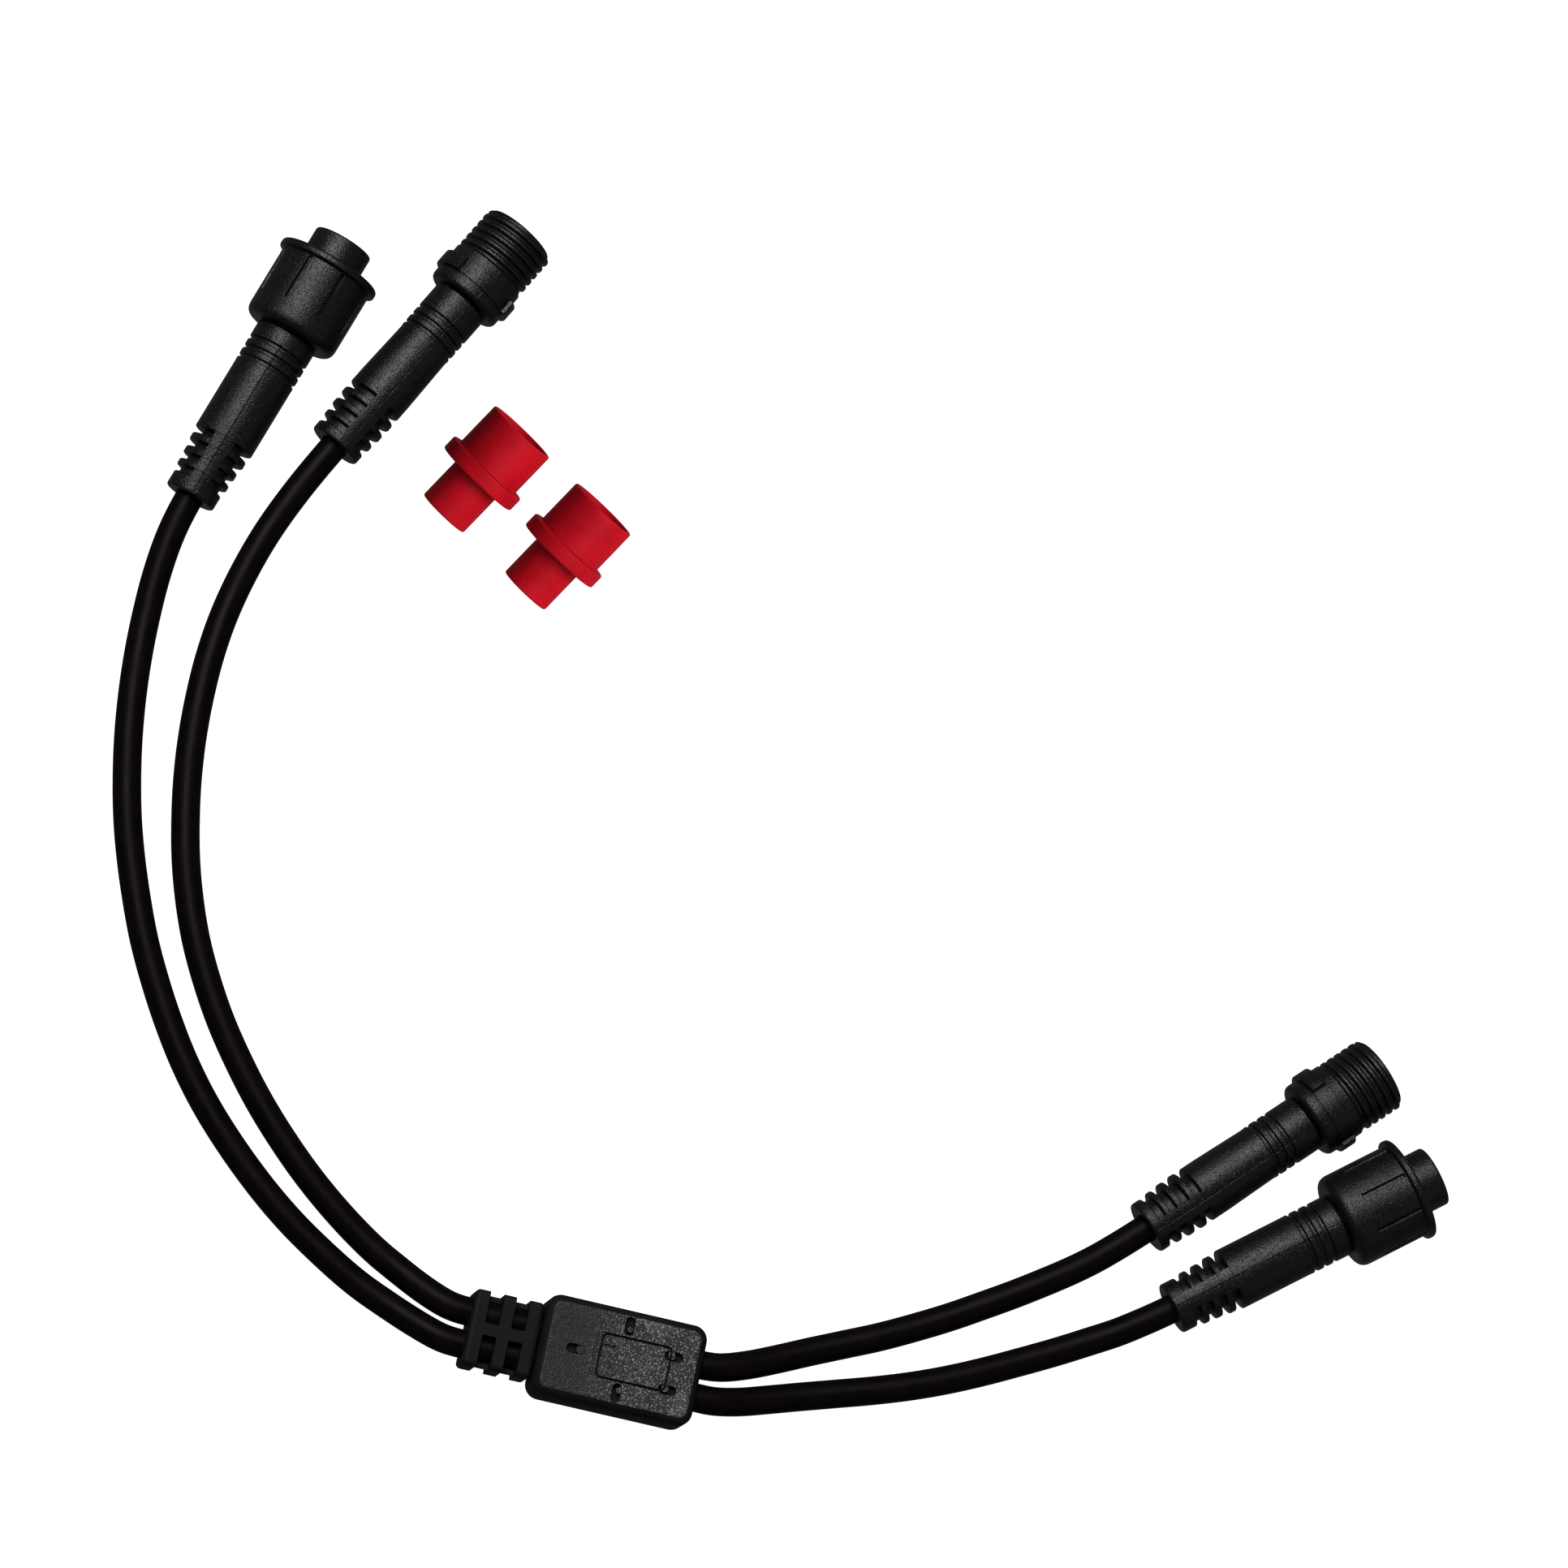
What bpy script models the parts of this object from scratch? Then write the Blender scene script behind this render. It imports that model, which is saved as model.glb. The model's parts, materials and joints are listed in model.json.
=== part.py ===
"""Solar cable connector: a waterproof lead that joins two cables to two others.

A flat moulded block holds the splices.  Four two-core cables leave it, two at each end.  Each end
has one connector with a coupling nut and one with an outside thread, and two loose rubber caps
seal the connectors when they stand open.

Frame: +Z up, +X along the block towards its plain end, origin at the middle of the block's
underside.  Everything lies on the plane Z = 0.  All sizes below are millimetres.
"""

from math import cos, pi, radians, sin, tau

import bmesh
import bpy
from mathutils import Matrix, Vector

MM = 0.001
GAP = 0.3

# Cable and its two insulated cores
CABLE_R = 2.7
CABLE_BORE_R = CABLE_R + GAP
CORE_R = 0.75
CORE_OFFSET = 0.95
CABLE_STEP = 12.0

# Splice block
BLOCK_LENGTH = 31.0
BLOCK_WIDTH = 19.2
BLOCK_HEIGHT = 10.5
BLOCK_CORNER_R = 2.8
BLOCK_EDGE_R = 1.3
BLOCK_WALL = 3.0
CAVITY_HEIGHT = 6.4
CAVITY_WIDTH = 14.0
CABLE_PITCH = 6.2
AXIS_Z = BLOCK_HEIGHT / 2
PIT_DEPTH = 0.8
PIT_LENGTH = 3.6
PIT_WIDTH = 1.8
PANEL_LENGTH = 13.7
PANEL_WIDTH = 8.7
PANEL_X = 2.5

# Strain relief on the block's left end
RELIEF_LENGTH = 13.2
RELIEF_WIDTH = 14.4
RELIEF_HEIGHT = 8.5
RELIEF_CORNER_R = 1.0
RELIEF_EDGE_R = 1.6
SPINE_WIDTH = 2.3
WINDOW_LENGTH = 2.7
WINDOW_DEPTH = 1.7
WINDOW_MARGIN = 0.7

# Splices inside the block
FERRULE_R = 1.9
FERRULE_LENGTH = 8.6
FERRULE_Y = 2.6
HOLDER_LENGTH = 8.0

# Parts shared by all four connectors
JACKET_END = 19.4
GRIP_STEP = 19.8
SLOT_WIDTH = 1.25
SLOT_DEPTH = 1.35
SPINE_HALF_ANGLE = radians(24)
GROOVE_WIDTH = 0.7
GROOVE_DEPTH = 0.3
CONTACT_OFFSET = 2.6
CONTACT_TAIL = 29.0

# Connector with the coupling nut
NUT_TILT = 5.93
NUT_TAIL_Z = 5.03
NUT_GRIP_LENGTH = 36.0
NUT_REAR = NUT_GRIP_LENGTH + GAP
NUT_LENGTH = 15.8
NUT_R = 9.35
NUT_SHOULDER_R = 2.6
NUT_REAR_WALL = 2.0
NUT_REAR_HOLE_R = 5.7
NUT_FLANGE_R = 10.27
NUT_FLANGE_LENGTH = 2.4
NUT_BORE_R = 7.35
NUT_TRAVEL = 4.0
RETAINER_LENGTH = 0.8
RETAINER_BORE_R = 5.6
NUT_FLUTES = 8
FLUTE_DEPTH = 0.5
FLUTE_START = 41.2
BARREL_R = 5.9
BARREL_TIP = 57.2
BARREL_NECK_R = 5.3
BARREL_STEM_R = 4.2
BARREL_FLANGE_R = 7.0
BARREL_FLANGE_LENGTH = 1.4
SOCKET_R = 1.25

# Connector with the outside thread
THREAD_TILT = 3.9
THREAD_TAIL_Z = 5.29
THREAD_ROLL = 17.0
THREAD_GRIP_LENGTH = 37.2
SHELL_REAR = THREAD_GRIP_LENGTH + GAP
SHELL_TIP = 55.0
SHELL_R = 7.64
SHELL_SHOULDER_R = 1.3
COLLAR_START = 40.3
COLLAR_LENGTH = 2.9
COLLAR_R = 7.78
COLLAR_LUG_R = 8.5
THREAD_START = 45.8
THREAD_END = 54.6
THREAD_PITCH = 1.65
THREAD_CREST_R = 7.6
THREAD_ROOT_R = 7.0
SHELL_BORE_R = 6.2
SHELL_REAR_WALL = 3.8
SHELL_REAR_HOLE_R = 4.3
CARRIER_R = 5.9
CARRIER_STEM_R = 4.0
CARRIER_FACE = 44.0
PIN_R = 1.0
PIN_TIP = 49.2

# Rubber cap
CAP_LENGTH = 21.7
CAP_PLUG_R = 5.23
CAP_PLUG_LENGTH = 9.2
CAP_FLANGE_R = 8.68
CAP_FLANGE_LENGTH = 3.0
CAP_CUP_R = 7.13
CAP_BORE_R = 6.1
CAP_BORE_DEPTH = 9.0
CAP_TILT = 20.7

# Where each connector's tail lies, and the way it points
CONNECTORS = {
    "nut_a": {"kind": "nut", "tail": (-113.1, 142.4), "azimuth": 72.0, "nut_turn": 19.5},
    "thread_a": {"kind": "thread", "tail": (-88.5, 158.8), "azimuth": 62.0},
    "thread_b": {"kind": "thread", "tail": (94.5, 47.9), "azimuth": 45.6},
    "nut_b": {"kind": "nut", "tail": (102.3, 33.9), "azimuth": 38.9, "nut_turn": 28.5},
}
CAPS = {
    "cap_a": {"small_end": (-65.4, 151.2), "azimuth": 58.5},
    "cap_b": {"small_end": (-47.1, 140.3), "azimuth": 58.6},
}

# Cable routes from the block's exit to the connector's tail, chosen by hand
ROUTES = {
    "nut_a": [
        (-33, -2.8, 5.1), (-38, -1.2, 4.2), (-44, 1.2, 3.2), (-50.5, 4.0, 2.75),
        (-57.5, 7.8, 2.7), (-65, 12.5, 2.7), (-72, 17.8, 2.7), (-79.2, 24.2, 2.7),
        (-85.5, 30.7, 2.7), (-90.8, 37.3, 2.7), (-95.3, 44, 2.7), (-99.4, 51, 2.7),
        (-103, 58, 2.7), (-106, 65.1, 2.7), (-108.7, 72.4, 2.7), (-111, 79.8, 2.7),
        (-112.8, 87.4, 2.7), (-114.2, 95, 2.7), (-115.2, 102.8, 2.7), (-115.8, 110.7, 2.75),
        (-116, 118.7, 3.0), (-115.8, 126.9, 3.6), (-114.9, 135.0, 4.3),
    ],
    "thread_a": [
        (-33, 3.5, 5.1), (-38, 5.4, 4.2), (-43.8, 8.3, 3.2), (-49, 11.1, 2.8),
        (-56, 15.7, 2.7), (-63, 21.1, 2.7), (-69.4, 26.9, 2.7), (-75.4, 33.1, 2.7),
        (-80.8, 39.6, 2.7), (-85.7, 46.3, 2.7), (-89.9, 53.2, 2.7), (-93.5, 60.2, 2.7),
        (-96.4, 67.5, 2.7), (-98.7, 74.9, 2.7), (-100.4, 82.4, 2.7), (-101.7, 90.1, 2.7),
        (-102.5, 97.9, 2.7), (-102.8, 105.8, 2.7), (-102.6, 113.9, 2.75), (-101.7, 122.2, 2.9),
        (-99.9, 130.8, 3.3), (-97.2, 139.7, 3.9), (-93.4, 148.9, 4.6),
    ],
    "thread_b": [
        (19.5, 3.5, 5.1), (24.5, 5.2, 4.3), (30, 7.7, 3.4), (36, 10.6, 2.85),
        (42.3, 13.5, 2.7), (48.8, 16.5, 2.7), (55.3, 19.9, 2.7), (61.2, 23.2, 2.85),
        (66.9, 26.7, 3.2), (72.3, 30.1, 3.6), (77.5, 33.6, 4.0), (82.4, 37.1, 4.35),
        (87.1, 40.9, 4.7),
    ],
    "nut_b": [
        (19.5, -3.0, 5.1), (24.5, -1.9, 4.3), (30, -0.1, 3.4), (36, 1.9, 2.85),
        (42.6, 4.0, 2.7), (49.2, 6.1, 2.7), (56, 8.5, 2.7), (62.6, 11.2, 2.7),
        (69.2, 14.3, 2.7), (75.8, 17.7, 2.75), (82.2, 21.1, 3.0), (88.2, 24.5, 3.5),
        (93.8, 27.8, 4.1),
    ],
}


# ---------------------------------------------------------------- scene, materials, objects


def empty_scene():
    for thing in list(bpy.data.objects):
        bpy.data.objects.remove(thing, do_unlink=True)


def material(name, colour, roughness, metallic=0.0):
    looks = bpy.data.materials.new(name)
    looks.use_nodes = True
    shader = looks.node_tree.nodes["Principled BSDF"]
    shader.inputs["Base Color"].default_value = (*colour, 1.0)
    shader.inputs["Roughness"].default_value = roughness
    shader.inputs["Metallic"].default_value = metallic
    looks.diffuse_color = (*colour, 1.0)
    return looks


def add_object(name, bm, looks, parent=None, sharp_angle=40):
    bmesh.ops.recalc_face_normals(bm, faces=bm.faces)
    mesh = bpy.data.meshes.new(name)
    bm.to_mesh(mesh)
    bm.free()
    mesh.shade_smooth()
    mesh.set_sharp_from_angle(angle=radians(sharp_angle))
    thing = bpy.data.objects.new(name, mesh)
    bpy.context.collection.objects.link(thing)
    thing.data.materials.append(looks)
    thing.parent = parent
    return thing


def add_empty(name, location, rotation):
    axis = bpy.data.objects.new(name, None)
    bpy.context.collection.objects.link(axis)
    axis.location = location
    axis.rotation_euler = rotation
    return axis


def bridge(bm, rings, closed):
    """Quads from each ring to the next; a closed body either loops or gets two flat ends."""
    pairs = list(zip(rings, rings[1:]))
    if closed:
        pairs.append((rings[-1], rings[0]))
    for near, far in pairs:
        for k in range(len(near)):
            n = (k + 1) % len(near)
            bm.faces.new((near[k], near[n], far[n], far[k]))
    if not closed:
        bm.faces.new(rings[0])
        bm.faces.new(rings[-1])


def lathe(name, profile, sides, looks, parent=None, hollow=False, shape=None):
    """Turn (along, radius) points about local X.  A hollow profile is a loop round the wall."""
    bm = bmesh.new()
    rings = []
    for along, radius in profile:
        ring = []
        for k in range(sides):
            angle = tau * k / sides
            r = shape(along, radius, angle) if shape else radius
            ring.append(bm.verts.new((along * MM, r * cos(angle) * MM, r * sin(angle) * MM)))
        rings.append(ring)
    bridge(bm, rings, hollow)
    return add_object(name, bm, looks, parent)


def rounded_outline(length, width, corner, steps=3):
    """Points round a rectangle with arcs at its corners."""
    points = []
    for quarter in range(4):
        cx = (length / 2 - corner) * (1 if quarter in (0, 3) else -1)
        cy = (width / 2 - corner) * (1 if quarter in (0, 1) else -1)
        for step in range(steps + 1):
            angle = pi / 2 * (quarter + step / steps)
            points.append((cx + corner * cos(angle), cy + corner * sin(angle)))
    return points


def slab(name, size, corner, edge, centre, looks, steps=3):
    """A rounded plate whose upper and lower edges are rounded too."""
    length, width, height = size
    levels = [(edge * (1 - sin(pi / 2 * k / 2)), edge * (1 - cos(pi / 2 * k / 2))) for k in range(3)]
    if edge == 0:
        levels = [(0.0, 0.0)]
    stack = levels + [(inset, height - z) for inset, z in reversed(levels)]
    bm = bmesh.new()
    rings = []
    for inset, z in stack:
        outline = rounded_outline(length - 2 * inset, width - 2 * inset, max(corner - inset, 0.3), steps)
        ring = []
        for x, y in outline:
            ring.append(bm.verts.new(((centre[0] + x) * MM, (centre[1] + y) * MM, (centre[2] + z) * MM)))
        rings.append(ring)
    bridge(bm, rings, False)
    return add_object(name, bm, looks, sharp_angle=50)


def cut(body, cutter):
    cutter.hide_render = True
    cutter.display_type = "WIRE"
    tool = body.modifiers.new(cutter.name, "BOOLEAN")
    tool.operation = "DIFFERENCE"
    tool.solver = "EXACT"
    tool.object = cutter


def round_cutter(name, start, end, radius, looks, parent=None, offset=(0.0, 0.0), sides=12):
    cutter = lathe(name, [(start, radius), (end, radius)], sides, looks, parent)
    cutter.location = (0.0, offset[0] * MM, offset[1] * MM)
    return cutter


def box_cutter(name, size, centre, looks):
    low_centre = (centre[0], centre[1], centre[2] - size[2] / 2)
    return slab(name, size, 0.3, 0, low_centre, looks, steps=1)


def smooth_path(points, step):
    """Points about a step apart on a smooth curve through the route; its end runs are straight."""
    knots = [Vector(p) for p in points]
    fine = []
    for k in range(1, len(knots) - 2):
        before = knots[k - 1]
        after = knots[k + 2]
        span = (knots[k + 1] - knots[k]).length
        start_slope = (knots[k + 1] - before) * span / ((knots[k] - before).length + span)
        end_slope = (after - knots[k]) * span / ((after - knots[k + 1]).length + span)
        for part in range(24):
            t = part / 24
            fine.append(
                knots[k] * (2 * t**3 - 3 * t**2 + 1)
                + start_slope * (t**3 - 2 * t**2 + t)
                + knots[k + 1] * (3 * t**2 - 2 * t**3)
                + end_slope * (t**3 - t**2)
            )
    fine.append(knots[-2])
    run = [0.0]
    for a, b in zip(fine, fine[1:]):
        run.append(run[-1] + (b - a).length)
    count = max(2, round(run[-1] / step))
    path = [knots[0]]
    k = 0
    for n in range(count + 1):
        want = run[-1] * n / count
        while k < len(fine) - 2 and run[k + 1] < want:
            k += 1
        share = (want - run[k]) / (run[k + 1] - run[k])
        path.append(fine[k].lerp(fine[k + 1], min(1.0, share)))
    return path + [knots[-1]]


def tube(name, points, radius, step, looks, parent=None, resolution=3):
    curve = bpy.data.curves.new(name, "CURVE")
    curve.dimensions = "3D"
    curve.bevel_depth = radius * MM
    curve.bevel_resolution = resolution
    curve.use_fill_caps = True
    path = smooth_path(points, step)
    line = curve.splines.new("POLY")
    line.points.add(len(path) - 1)
    for point, place in zip(line.points, path):
        point.co = (*(place * MM), 1.0)
    line.use_smooth = True
    thing = bpy.data.objects.new(name, curve)
    bpy.context.collection.objects.link(thing)
    thing.data.materials.append(looks)
    thing.parent = parent
    return thing


# ---------------------------------------------------------------- splice block


def make_block(looks):
    size = (BLOCK_LENGTH, BLOCK_WIDTH, BLOCK_HEIGHT)
    body = slab("block_body", size, BLOCK_CORNER_R, BLOCK_EDGE_R, (0, 0, 0), looks["moulded"])
    cavity_length = BLOCK_LENGTH - 2 * BLOCK_WALL
    cavity = (cavity_length, CAVITY_WIDTH, CAVITY_HEIGHT)
    cut(body, box_cutter("block_cavity_cutter", cavity, (0, 0, AXIS_Z), looks["moulded"]))
    for end in (-1, 1):
        for side in (-1, 1):
            label = f"block_bore_cutter_{'left' if end < 0 else 'right'}_{'low' if side < 0 else 'high'}"
            near = end * (cavity_length / 2 - 1)
            far = end * (BLOCK_LENGTH / 2 + 1)
            place = (side * CABLE_PITCH / 2, AXIS_Z)
            ends = (min(near, far), max(near, far))
            cut(body, round_cutter(label, *ends, CABLE_BORE_R, looks["moulded"], None, place))
    for number, (x, y, turned) in enumerate(pit_places()):
        length, width = (PIT_WIDTH, PIT_LENGTH) if turned else (PIT_LENGTH, PIT_WIDTH)
        pit_size = (length, width, 2 * PIT_DEPTH)
        low = (x, y, BLOCK_HEIGHT - PIT_DEPTH)
        corner = PIT_WIDTH / 2 - 0.05
        cut(body, slab(f"block_pit_cutter_{number}", pit_size, corner, 0, low, looks["moulded"]))


def pit_places():
    """Five oblong pits: one behind the panel, two beside it, two across its front edge."""
    beside = PANEL_WIDTH / 2 + 2.05
    rear = PANEL_X - PANEL_LENGTH / 2
    front = PANEL_X + PANEL_LENGTH / 2
    return [
        (rear - 4.4, 0.0, False),
        (rear + 4.75, beside, True),
        (rear + 4.75, -beside, True),
        (front + 0.3, PANEL_WIDTH / 2 - 1.7, False),
        (front + 0.3, 0.6 - PANEL_WIDTH / 2, False),
    ]


def make_strain_relief(looks):
    centre_x = -(BLOCK_LENGTH / 2 + GAP + RELIEF_LENGTH / 2)
    low = AXIS_Z - RELIEF_HEIGHT / 2
    size = (RELIEF_LENGTH, RELIEF_WIDTH, RELIEF_HEIGHT)
    place = (centre_x, 0, low)
    relief = slab("strain_relief", size, RELIEF_CORNER_R, RELIEF_EDGE_R, place, looks["smooth"], 1)
    ends = (centre_x - RELIEF_LENGTH / 2 - 1, centre_x + RELIEF_LENGTH / 2 + 1)
    window_width = RELIEF_WIDTH / 2 - WINDOW_MARGIN - SPINE_WIDTH / 2
    for side in (-1, 1):
        label = "low" if side < 0 else "high"
        place = (side * CABLE_PITCH / 2, AXIS_Z)
        bore = round_cutter(f"relief_bore_cutter_{label}", *ends, CABLE_BORE_R, looks["smooth"], None, place)
        cut(relief, bore)
        for row, x in enumerate(window_places(centre_x)):
            for face in (-1, 1):
                y = side * (SPINE_WIDTH + window_width) / 2
                z = AXIS_Z + face * RELIEF_HEIGHT / 2
                window = (WINDOW_LENGTH, window_width, 2 * WINDOW_DEPTH)
                name = f"relief_window_cutter_{label}_{row}_{'under' if face < 0 else 'top'}"
                cut(relief, box_cutter(name, window, (x, y, z), looks["smooth"]))


def window_places(centre_x):
    left = centre_x - RELIEF_LENGTH / 2
    return (left + 4.1, left + 9.1)


def make_splices(looks):
    """Two crimped ferrules in an insulating holder, and the eight cores that reach them."""
    holder_size = (HOLDER_LENGTH, CAVITY_WIDTH - 2 * GAP, CAVITY_HEIGHT - 2 * GAP)
    low = AXIS_Z - holder_size[2] / 2
    holder = slab("splice_holder", holder_size, 0.6, 0, (0, 0, low), looks["insulator"], 1)
    for pole, sign in (("plus", 1), ("minus", -1)):
        y = sign * FERRULE_Y
        half = FERRULE_LENGTH / 2
        z = AXIS_Z + sign * 0.45
        ferrule = lathe(
            f"splice_ferrule_{pole}",
            [(-half, FERRULE_R - 0.2), (1 - half, FERRULE_R), (-0.8, FERRULE_R), (0, FERRULE_R - 0.3),
             (0.8, FERRULE_R), (half - 1, FERRULE_R), (half, FERRULE_R - 0.2)],
            12, looks["copper"])
        ferrule.location = (0.0, y * MM, z * MM)
        bore = round_cutter(f"holder_bore_cutter_{pole}", -half, half, FERRULE_R + GAP, looks["insulator"],
                            None, (y, z))
        cut(holder, bore)
        for connector, end, side in (("nut_a", -1, -1), ("thread_a", -1, 1),
                                     ("thread_b", 1, 1), ("nut_b", 1, -1)):
            start_x = end * (BLOCK_LENGTH / 2 - BLOCK_WALL - 0.5 - GAP)
            last_x = end * (FERRULE_LENGTH / 2 + GAP)
            start_y = side * CABLE_PITCH / 2
            last_y = y + side * 0.85
            level = AXIS_Z + sign * CORE_OFFSET
            route = [
                (start_x, start_y, level),
                (start_x * 0.72 + last_x * 0.28, start_y * 0.8 + last_y * 0.2, level),
                (start_x * 0.28 + last_x * 0.72, start_y * 0.2 + last_y * 0.8, level),
                (last_x, last_y, level),
            ]
            colour = looks["red_core"] if sign > 0 else looks["black_core"]
            tube(f"splice_core_{connector}_{pole}", route, CORE_R, 2.2, colour, None, 2)


# ---------------------------------------------------------------- connectors


def ribbed_tail(radii, slots):
    """The grip's flexible tail: (along, radius) points with a slot between each pair of ribs."""
    profile = [(0.0, radii[0] - 0.25), (0.5, radii[0])]
    for number, centre in enumerate(slots):
        near = centre - SLOT_WIDTH / 2
        far = centre + SLOT_WIDTH / 2
        floor = radii[number] - SLOT_DEPTH
        profile += [(near - 0.3, radii[number]), (near, floor), (far, floor)]
        profile.append((far + 0.3, radii[number + 1]))
    return profile


def ring_grooves(centres, radius):
    profile = []
    for centre in centres:
        profile += [(centre - GROOVE_WIDTH / 2, radius), (centre, radius - GROOVE_DEPTH)]
        profile.append((centre + GROOVE_WIDTH / 2, radius))
    return profile


def make_grip(name, parent, looks, radii, slots, body_radii, body_end, grooves, neck_r, length, front_bore_r):
    tail = ribbed_tail(radii + [body_radii[0]], slots)
    outside = tail + [(body_end, body_radii[1])] + ring_grooves(grooves, neck_r)
    outside += [(length - 0.2, neck_r), (length, neck_r - 0.2)]
    inside = [(length, front_bore_r), (GRIP_STEP, front_bore_r)]
    inside += [(GRIP_STEP, CABLE_BORE_R), (0.0, CABLE_BORE_R)]
    slot_floors = {(round(c + s * SLOT_WIDTH / 2, 3), n) for n, c in enumerate(slots) for s in (-1, 1)}
    floor_rib = {along: radii[number] for along, number in slot_floors}

    def keep_spines(along, radius, angle):
        """Slots stop short of the two spines that run along the top and the underside."""
        rib = floor_rib.get(round(along, 3))
        on_spine = abs(sin(angle)) > cos(SPINE_HALF_ANGLE)
        return rib if rib and on_spine and radius > CABLE_BORE_R + 0.1 else radius

    return lathe(name, outside + inside, 16, looks["moulded"], parent, True, keep_spines)


def make_leads(name, parent, looks):
    """The two cores from the cut end of the jacket to the tails of the contacts."""
    start = JACKET_END + GAP
    last = CONTACT_TAIL - GAP
    for pole, sign in (("plus", 1), ("minus", -1)):
        route = [
            (start, sign * CORE_OFFSET, 0),
            (start * 0.7 + last * 0.3, sign * (CORE_OFFSET * 0.8 + CONTACT_OFFSET * 0.2), 0),
            (start * 0.3 + last * 0.7, sign * (CORE_OFFSET * 0.2 + CONTACT_OFFSET * 0.8), 0),
            (last, sign * CONTACT_OFFSET, 0),
        ]
        colour = looks["red_core"] if sign > 0 else looks["black_core"]
        tube(f"{name}_core_{pole}", route, CORE_R, 3.0, colour, parent, 2)


def contact_bores(name, insert, parent, looks, radius, ends):
    for pole, sign in (("plus", 1), ("minus", -1)):
        place = (sign * CONTACT_OFFSET, 0.0)
        cut(insert, round_cutter(f"{name}_bore_cutter_{pole}", *ends, radius, looks, parent, place, 10))


def make_nut_connector(name, parent, looks):
    make_grip(f"{name}_grip", parent, looks, [5.04, 5.35, 5.5, 5.8], [3.9, 6.4, 9.1, 11.9],
              (6.07, 6.07), 27.6, [28.3, 30.3, 32.3], 6.12, NUT_GRIP_LENGTH, BARREL_STEM_R + GAP)
    make_leads(name, parent, looks)

    retainer_start = NUT_REAR + NUT_REAR_WALL + GAP
    retainer_end = retainer_start + RETAINER_LENGTH
    lathe(f"{name}_retaining_ring",
          [(retainer_start, RETAINER_BORE_R), (retainer_start, BARREL_FLANGE_R),
           (retainer_end, BARREL_FLANGE_R), (retainer_end, RETAINER_BORE_R)],
          16, looks["insulator"], parent, True)
    flange_start = retainer_end + NUT_TRAVEL + GAP
    flange_end = flange_start + BARREL_FLANGE_LENGTH
    barrel = lathe(
        f"{name}_barrel",
        [(CONTACT_TAIL - 1, BARREL_STEM_R), (NUT_REAR, BARREL_STEM_R), (NUT_REAR, BARREL_NECK_R),
         (flange_start, BARREL_NECK_R), (flange_start, BARREL_FLANGE_R), (flange_end, BARREL_FLANGE_R),
         (flange_end, BARREL_R), (BARREL_TIP - 0.4, BARREL_R), (BARREL_TIP, BARREL_R - 0.4)],
        20, looks["smooth"], parent)
    contact_bores(name, barrel, parent, looks["smooth"], SOCKET_R + GAP, (CONTACT_TAIL - 2, BARREL_TIP + 1))

    for pole, sign in (("plus", 1), ("minus", -1)):
        socket = lathe(
            f"{name}_socket_{pole}",
            [(CONTACT_TAIL, SOCKET_R), (BARREL_TIP - 0.8, SOCKET_R), (BARREL_TIP - 0.8, 0.85),
             (BARREL_TIP - 8, 0.85)],
            10, looks["contact"], parent)
        socket.location = (0.0, sign * CONTACT_OFFSET * MM, 0.0)

    seal_start = flange_end + GAP
    inner = BARREL_R + GAP
    lathe(f"{name}_seal_ring", [(seal_start, inner), (seal_start, BARREL_FLANGE_R),
                                (seal_start + 1.3, BARREL_FLANGE_R), (seal_start + 1.3, inner)],
          16, looks["seal"], parent, True)
    make_coupling_nut(f"{name}_coupling_nut", parent, looks, CONNECTORS[name]["nut_turn"])


def make_coupling_nut(name, parent, looks, turn):
    front = NUT_REAR + NUT_LENGTH
    flange = front - NUT_FLANGE_LENGTH
    arc = [k * pi / 6 for k in range(4)]
    outside = [(NUT_REAR + NUT_SHOULDER_R * (1 - cos(a)), NUT_R - NUT_SHOULDER_R * (1 - sin(a))) for a in arc]
    outside += [(FLUTE_START - 0.4, NUT_R), (FLUTE_START, NUT_R), (flange - 0.1, NUT_R)]
    outside += [(flange, NUT_FLANGE_R - 0.5), (flange + 0.5, NUT_FLANGE_R)]
    outside += [(front - 0.7, NUT_FLANGE_R), (front, NUT_FLANGE_R - 0.7)]
    inner_wall = NUT_REAR + NUT_REAR_WALL
    inside = [(front, NUT_BORE_R + 0.4), (front - 0.6, NUT_BORE_R), (inner_wall, NUT_BORE_R)]
    inside += [(inner_wall, NUT_REAR_HOLE_R), (NUT_REAR, NUT_REAR_HOLE_R)]
    sides = NUT_FLUTES * 4

    def flutes(along, radius, angle):
        in_reach = FLUTE_START - 0.01 <= along <= flange and radius > NUT_R - 0.01
        on_flute = cos(angle * NUT_FLUTES) > 0.99
        return radius - FLUTE_DEPTH if in_reach and radius <= NUT_R and on_flute else radius

    nut = lathe(name, outside + inside, sides, looks["moulded"], parent, True, flutes)
    nut.rotation_euler = (radians(turn), 0.0, 0.0)


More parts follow.
